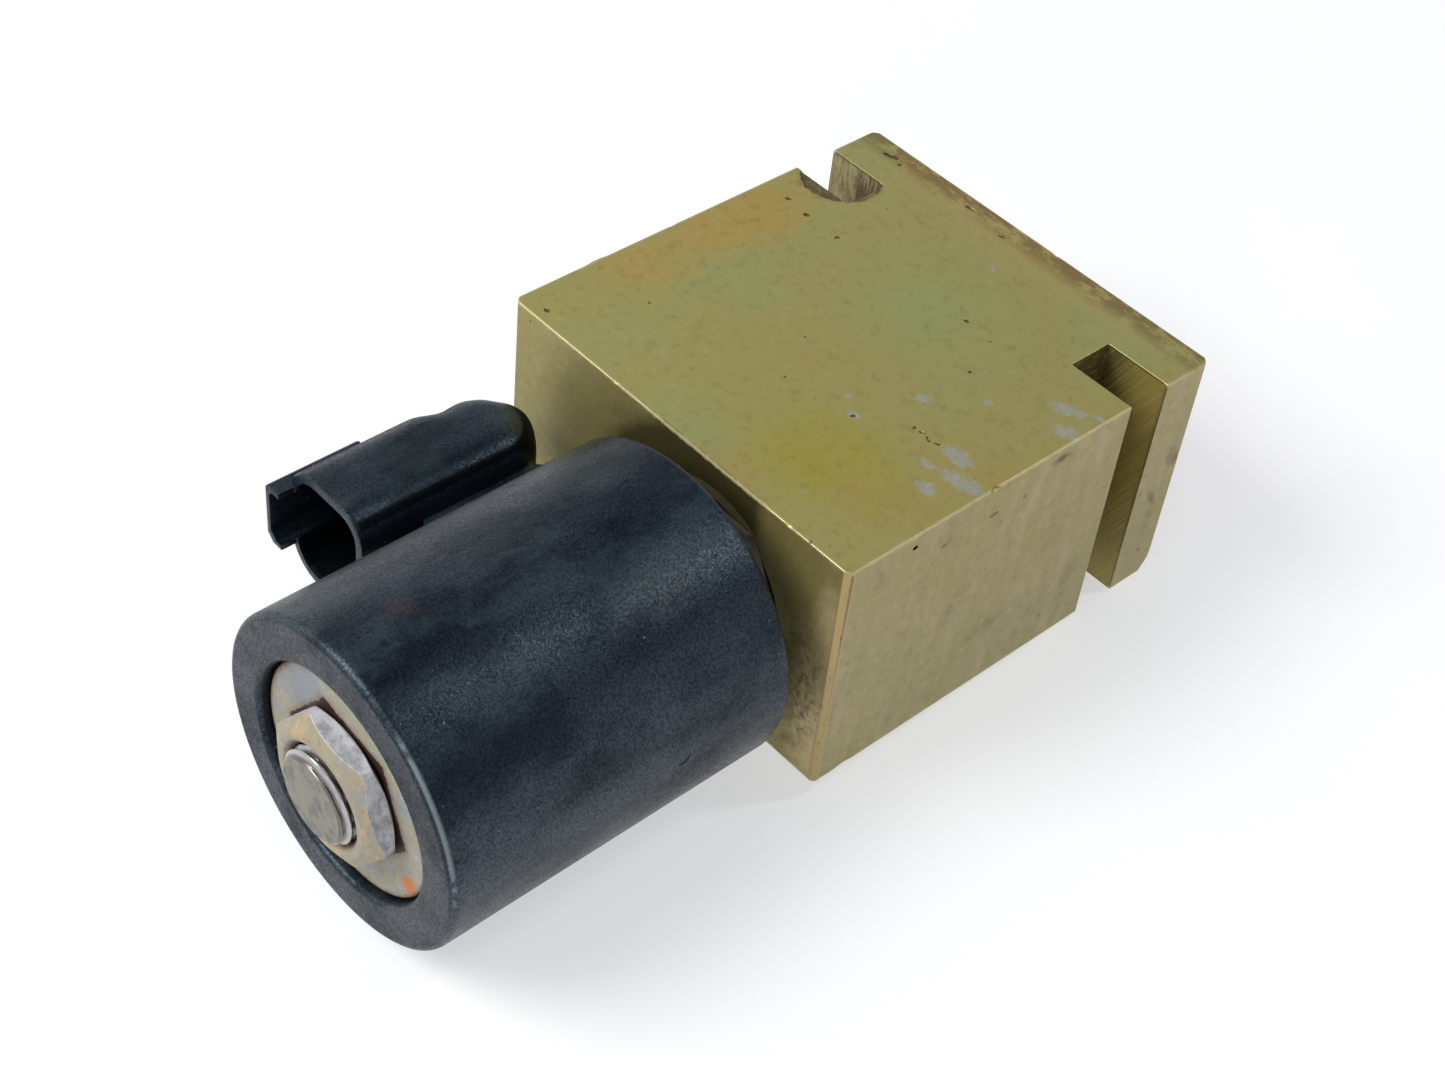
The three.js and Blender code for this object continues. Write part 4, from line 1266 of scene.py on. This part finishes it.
def cap_plastic():
    """Soft red plastic, a little cloudy, with fine pale scuffs."""
    look = Look("red_polyethylene")
    cloud = look.noise(5, 3, 0.6)
    look.base = cloud.tones((214, 48, 38), (196, 34, 30))
    scuffed = look.noise(0.9, 4, 0.7, stretch=(1, 3, 1), shift=4).step(0.62, 0.75)
    look.paint(scuffed, (232, 132, 118), 0.3)
    height = look.noise(0.4, 3, 0.6) + cloud
    glow = {"Subsurface Weight": 0.08}
    return look.finish(cloud.blend(0.36, 0.5), 0.0, height, 0.03, strength=0.5, extra=glow)


def plain_look(name, light, dark, size, rough, metal=0.0, stretch=(1, 1, 1)):
    """A material of two close colours in a noise of this size, with a bump to match."""
    look = Look(name)
    pattern = look.noise(size, 4, 0.6, stretch=stretch)
    fine = look.noise(size / 6, 3, 0.6, stretch=stretch, shift=5)
    look.base = pattern.step(0.3, 0.7).tones(dark, light)
    look.paint(fine.step(0.55, 0.75), dark, 0.3)
    spread = fine.blend(rough - 0.08, rough + 0.08)
    return look.finish(spread, metal, pattern + fine, depth=0.03, strength=0.6)


def winding_finish():
    """Enamelled wire, wound in close turns along the bobbin, with painted shade between the turns.
    """
    look = Look("magnet_wire")
    turns = look.maths("SINE", look.y * (2 * math.pi / 0.5))
    drift = look.noise(3, 3, 0.6)
    look.base = drift.tones((184, 104, 54), (158, 80, 40))
    # Painted shade in the grooves between the turns.
    look.paint(turns.step(-0.3, -0.95), (70, 30, 16), 0.7)
    return look.finish(drift.blend(0.25, 0.4), 0.85, turns, depth=0.08, strength=0.8)


# ---- The pieces and what they stand for -------------------------------------------


def even_shading(piece):
    """Keeps large flat faces flat where they meet narrow rounded edges."""
    step = piece.modifiers.new("even_shading", "WEIGHTED_NORMAL")
    step.mode = "FACE_AREA"
    step.weight = 100
    step.keep_sharp = True


def fit(piece, body, slot, material, *nodes):
    """Puts a piece on its body in the place of CAD nodes."""
    even_shading(piece)
    piece.data.materials.clear()
    piece.data.materials.append(material)
    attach(piece, body)
    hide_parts(*nodes)


def dress_visible_pieces(steel):
    """Builds the pieces that stand in for CAD nodes."""
    red = cap_plastic()
    fit(build_block(), "valve_body", "dichromate_aluminium", chromate(), "manifold_block")
    fit(build_coil_moulding(), "coil", "moulding", moulded_plastic(), "coil_housing")
    fit(build_nut(), "nut", "zinc_plate", nut_finish(), "coil_nut")
    fit(build_pole_piece(), "valve_body", "steel", stud_finish(), "pole_piece")
    fit(build_washer(), "coil", "zinc_plate", washer_finish(), "front_flux_washer")
    fit(build_adapter(), "valve_body", "steel", steel, "cartridge_adapter")

    fixed, moving = build_springs()
    fit(fixed, "valve_body", "steel", steel, "plunger_spring")
    fit(moving, "armature", "steel", steel, "plunger_spring")
    fit(build_cap("cap_side", SIDE_PORT), "side_cap", "cap_plastic", red, "side_port_cap")
    fit(build_cap("cap_rear", REAR_PORT), "rear_cap", "cap_plastic", red, "rear_port_cap")


def dress_cad_nodes(steel):
    """Gives the rest of the CAD nodes, which are mostly hidden inside, their materials."""
    rubber = plain_look("nitrile", (34, 34, 36), (20, 20, 22), 1.2, 0.55)
    ptfe = plain_look("ptfe", (232, 230, 222), (216, 212, 202), 1.5, 0.5)
    nylon = plain_look("natural_nylon", (208, 198, 170), (190, 178, 146), 4, 0.45)
    zinc = plain_look("zinc_plate", (176, 174, 166), (146, 142, 130), 2.2, 0.45, 0.7)
    tin = plain_look("tin_plate", (204, 205, 206), (176, 178, 180), 1.0, 0.28, 0.95, (1, 6, 1))
    finishes = {
        rubber: ("adapter_oring", "cage_oring", "coil_seal"),
        ptfe: ("backup_ring_front", "backup_ring_rear"),
        nylon: ("coil_bobbin",),
        zinc: ("flux_tube", "rear_flux_washer"),
        tin: ("terminal_pin_a", "terminal_pin_b"),
        winding_finish(): ("copper_winding",),
        steel: (
            "valve_cage", "main_poppet", "lift_pin", "pilot_pin", "plunger", "guide_tube",
        ),
    }
    for material, nodes in finishes.items():
        for name in nodes:
            node = frame["nodes"][name]
            node.data.materials.clear()
            node.data.materials.append(material)


# ---- Floor, light and camera ------------------------------------------------------


def floor():
    """A pale floor under the block's rear edge and the coil's rear lower edge, which are
    what the valve rests on when it is set down."""
    rise = AXIS.z - COIL_RADIUS
    near, far = COIL_BACK - 1.1, BACK
    slope = math.atan2(-rise, far - near)
    reach = 2500 * MM
    middle = Vector((0, far, -0.15)) * MM
    along = Vector((0, math.cos(slope), math.sin(slope)))
    corners = [
        middle + Vector((x * reach, 0, 0)) + along * (y * reach)
        for x, y in ((-1, -1), (1, -1), (1, 1), (-1, 1))
    ]
    mesh = bpy.data.meshes.new("floor")
    mesh.from_pydata(corners, [], [(0, 1, 2, 3)])
    sheet = bpy.data.objects.new("floor", mesh)
    bpy.context.scene.collection.objects.link(sheet)
    look = Look("pale_floor")
    look.base = look.noise(60, 2, 0.5).tones((182, 182, 182), (188, 188, 189))
    glow = {"Emission Color": (1, 1, 1, 1), "Emission Strength": 0.5}
    sheet.data.materials.append(look.finish(0.85, extra=glow))


def soft_light(name, direction, distance, size, power):
    """An area light that looks at the middle of the valve. Its sizes are in metres."""
    lamp = bpy.data.lights.new(name, "AREA")
    lamp.shape = "RECTANGLE"
    lamp.size, lamp.size_y = size
    lamp.energy = power
    piece = bpy.data.objects.new(name, lamp)
    way = Vector(direction).normalized()
    target = Vector((0, -30, 20)) * MM
    piece.location = target + way * distance
    piece.rotation_mode = "QUATERNION"
    piece.rotation_quaternion = (-way).to_track_quat("-Z", "Y")
    bpy.context.scene.collection.objects.link(piece)


def world():
    """A sky that is pale in front, on the left and from the horizon down, and else grey."""
    made = bpy.data.worlds.new("studio")
    made.use_nodes = True
    sky = Nodes(made.node_tree)
    x, y, z = sky.split(sky.node("ShaderNodeTexCoord").outputs["Generated"])
    pale = x.step(-0.35, -0.95) | z.step(0.6, 0.0) | y.step(-0.1, -0.95)
    shade = sky.mix(pale, (0.17, 0.20, 0.25, 1), (0.82, 0.83, 0.85, 1))
    sky.feed(sky.tree.nodes["Background"].inputs["Color"], shade)
    bpy.context.scene.world = made


def camera():
    """The camera stands in front, to the right and above, rolled by a few degrees."""
    where = Vector((157.21, -189.94, 235.84))
    right = Vector((0.6646, 0.7418, 0.0900)).normalized()
    forward = Vector((-0.4895, 0.5232, -0.6976)).normalized()
    up = right.cross(forward).normalized()
    right = forward.cross(up).normalized()
    data = bpy.data.cameras.new("camera")
    data.sensor_width = 36
    data.lens = 59.6
    data.clip_start, data.clip_end = 0.01, 20
    piece = bpy.data.objects.new("camera", data)
    turned = Matrix((right, up, -forward)).transposed().to_4x4()
    piece.matrix_world = Matrix.Translation(where * MM) @ turned
    bpy.context.scene.collection.objects.link(piece)
    bpy.context.scene.camera = piece


valve_steel = turned_steel()
dress_visible_pieces(valve_steel)
dress_cad_nodes(valve_steel)
floor()
world()
soft_light("key", (-0.35, -0.62, 0.7), distance=0.9, size=(0.45, 0.45), power=6.8)
soft_light("fill", (0.6, -0.7, 0.4), distance=1.0, size=(0.6, 0.4), power=1.4)
soft_light("lamp", (0.332, 0.523, 0.785), distance=0.8, size=(0.06, 0.2), power=1.0)
camera()
bpy.context.scene.view_settings.view_transform = "Standard"
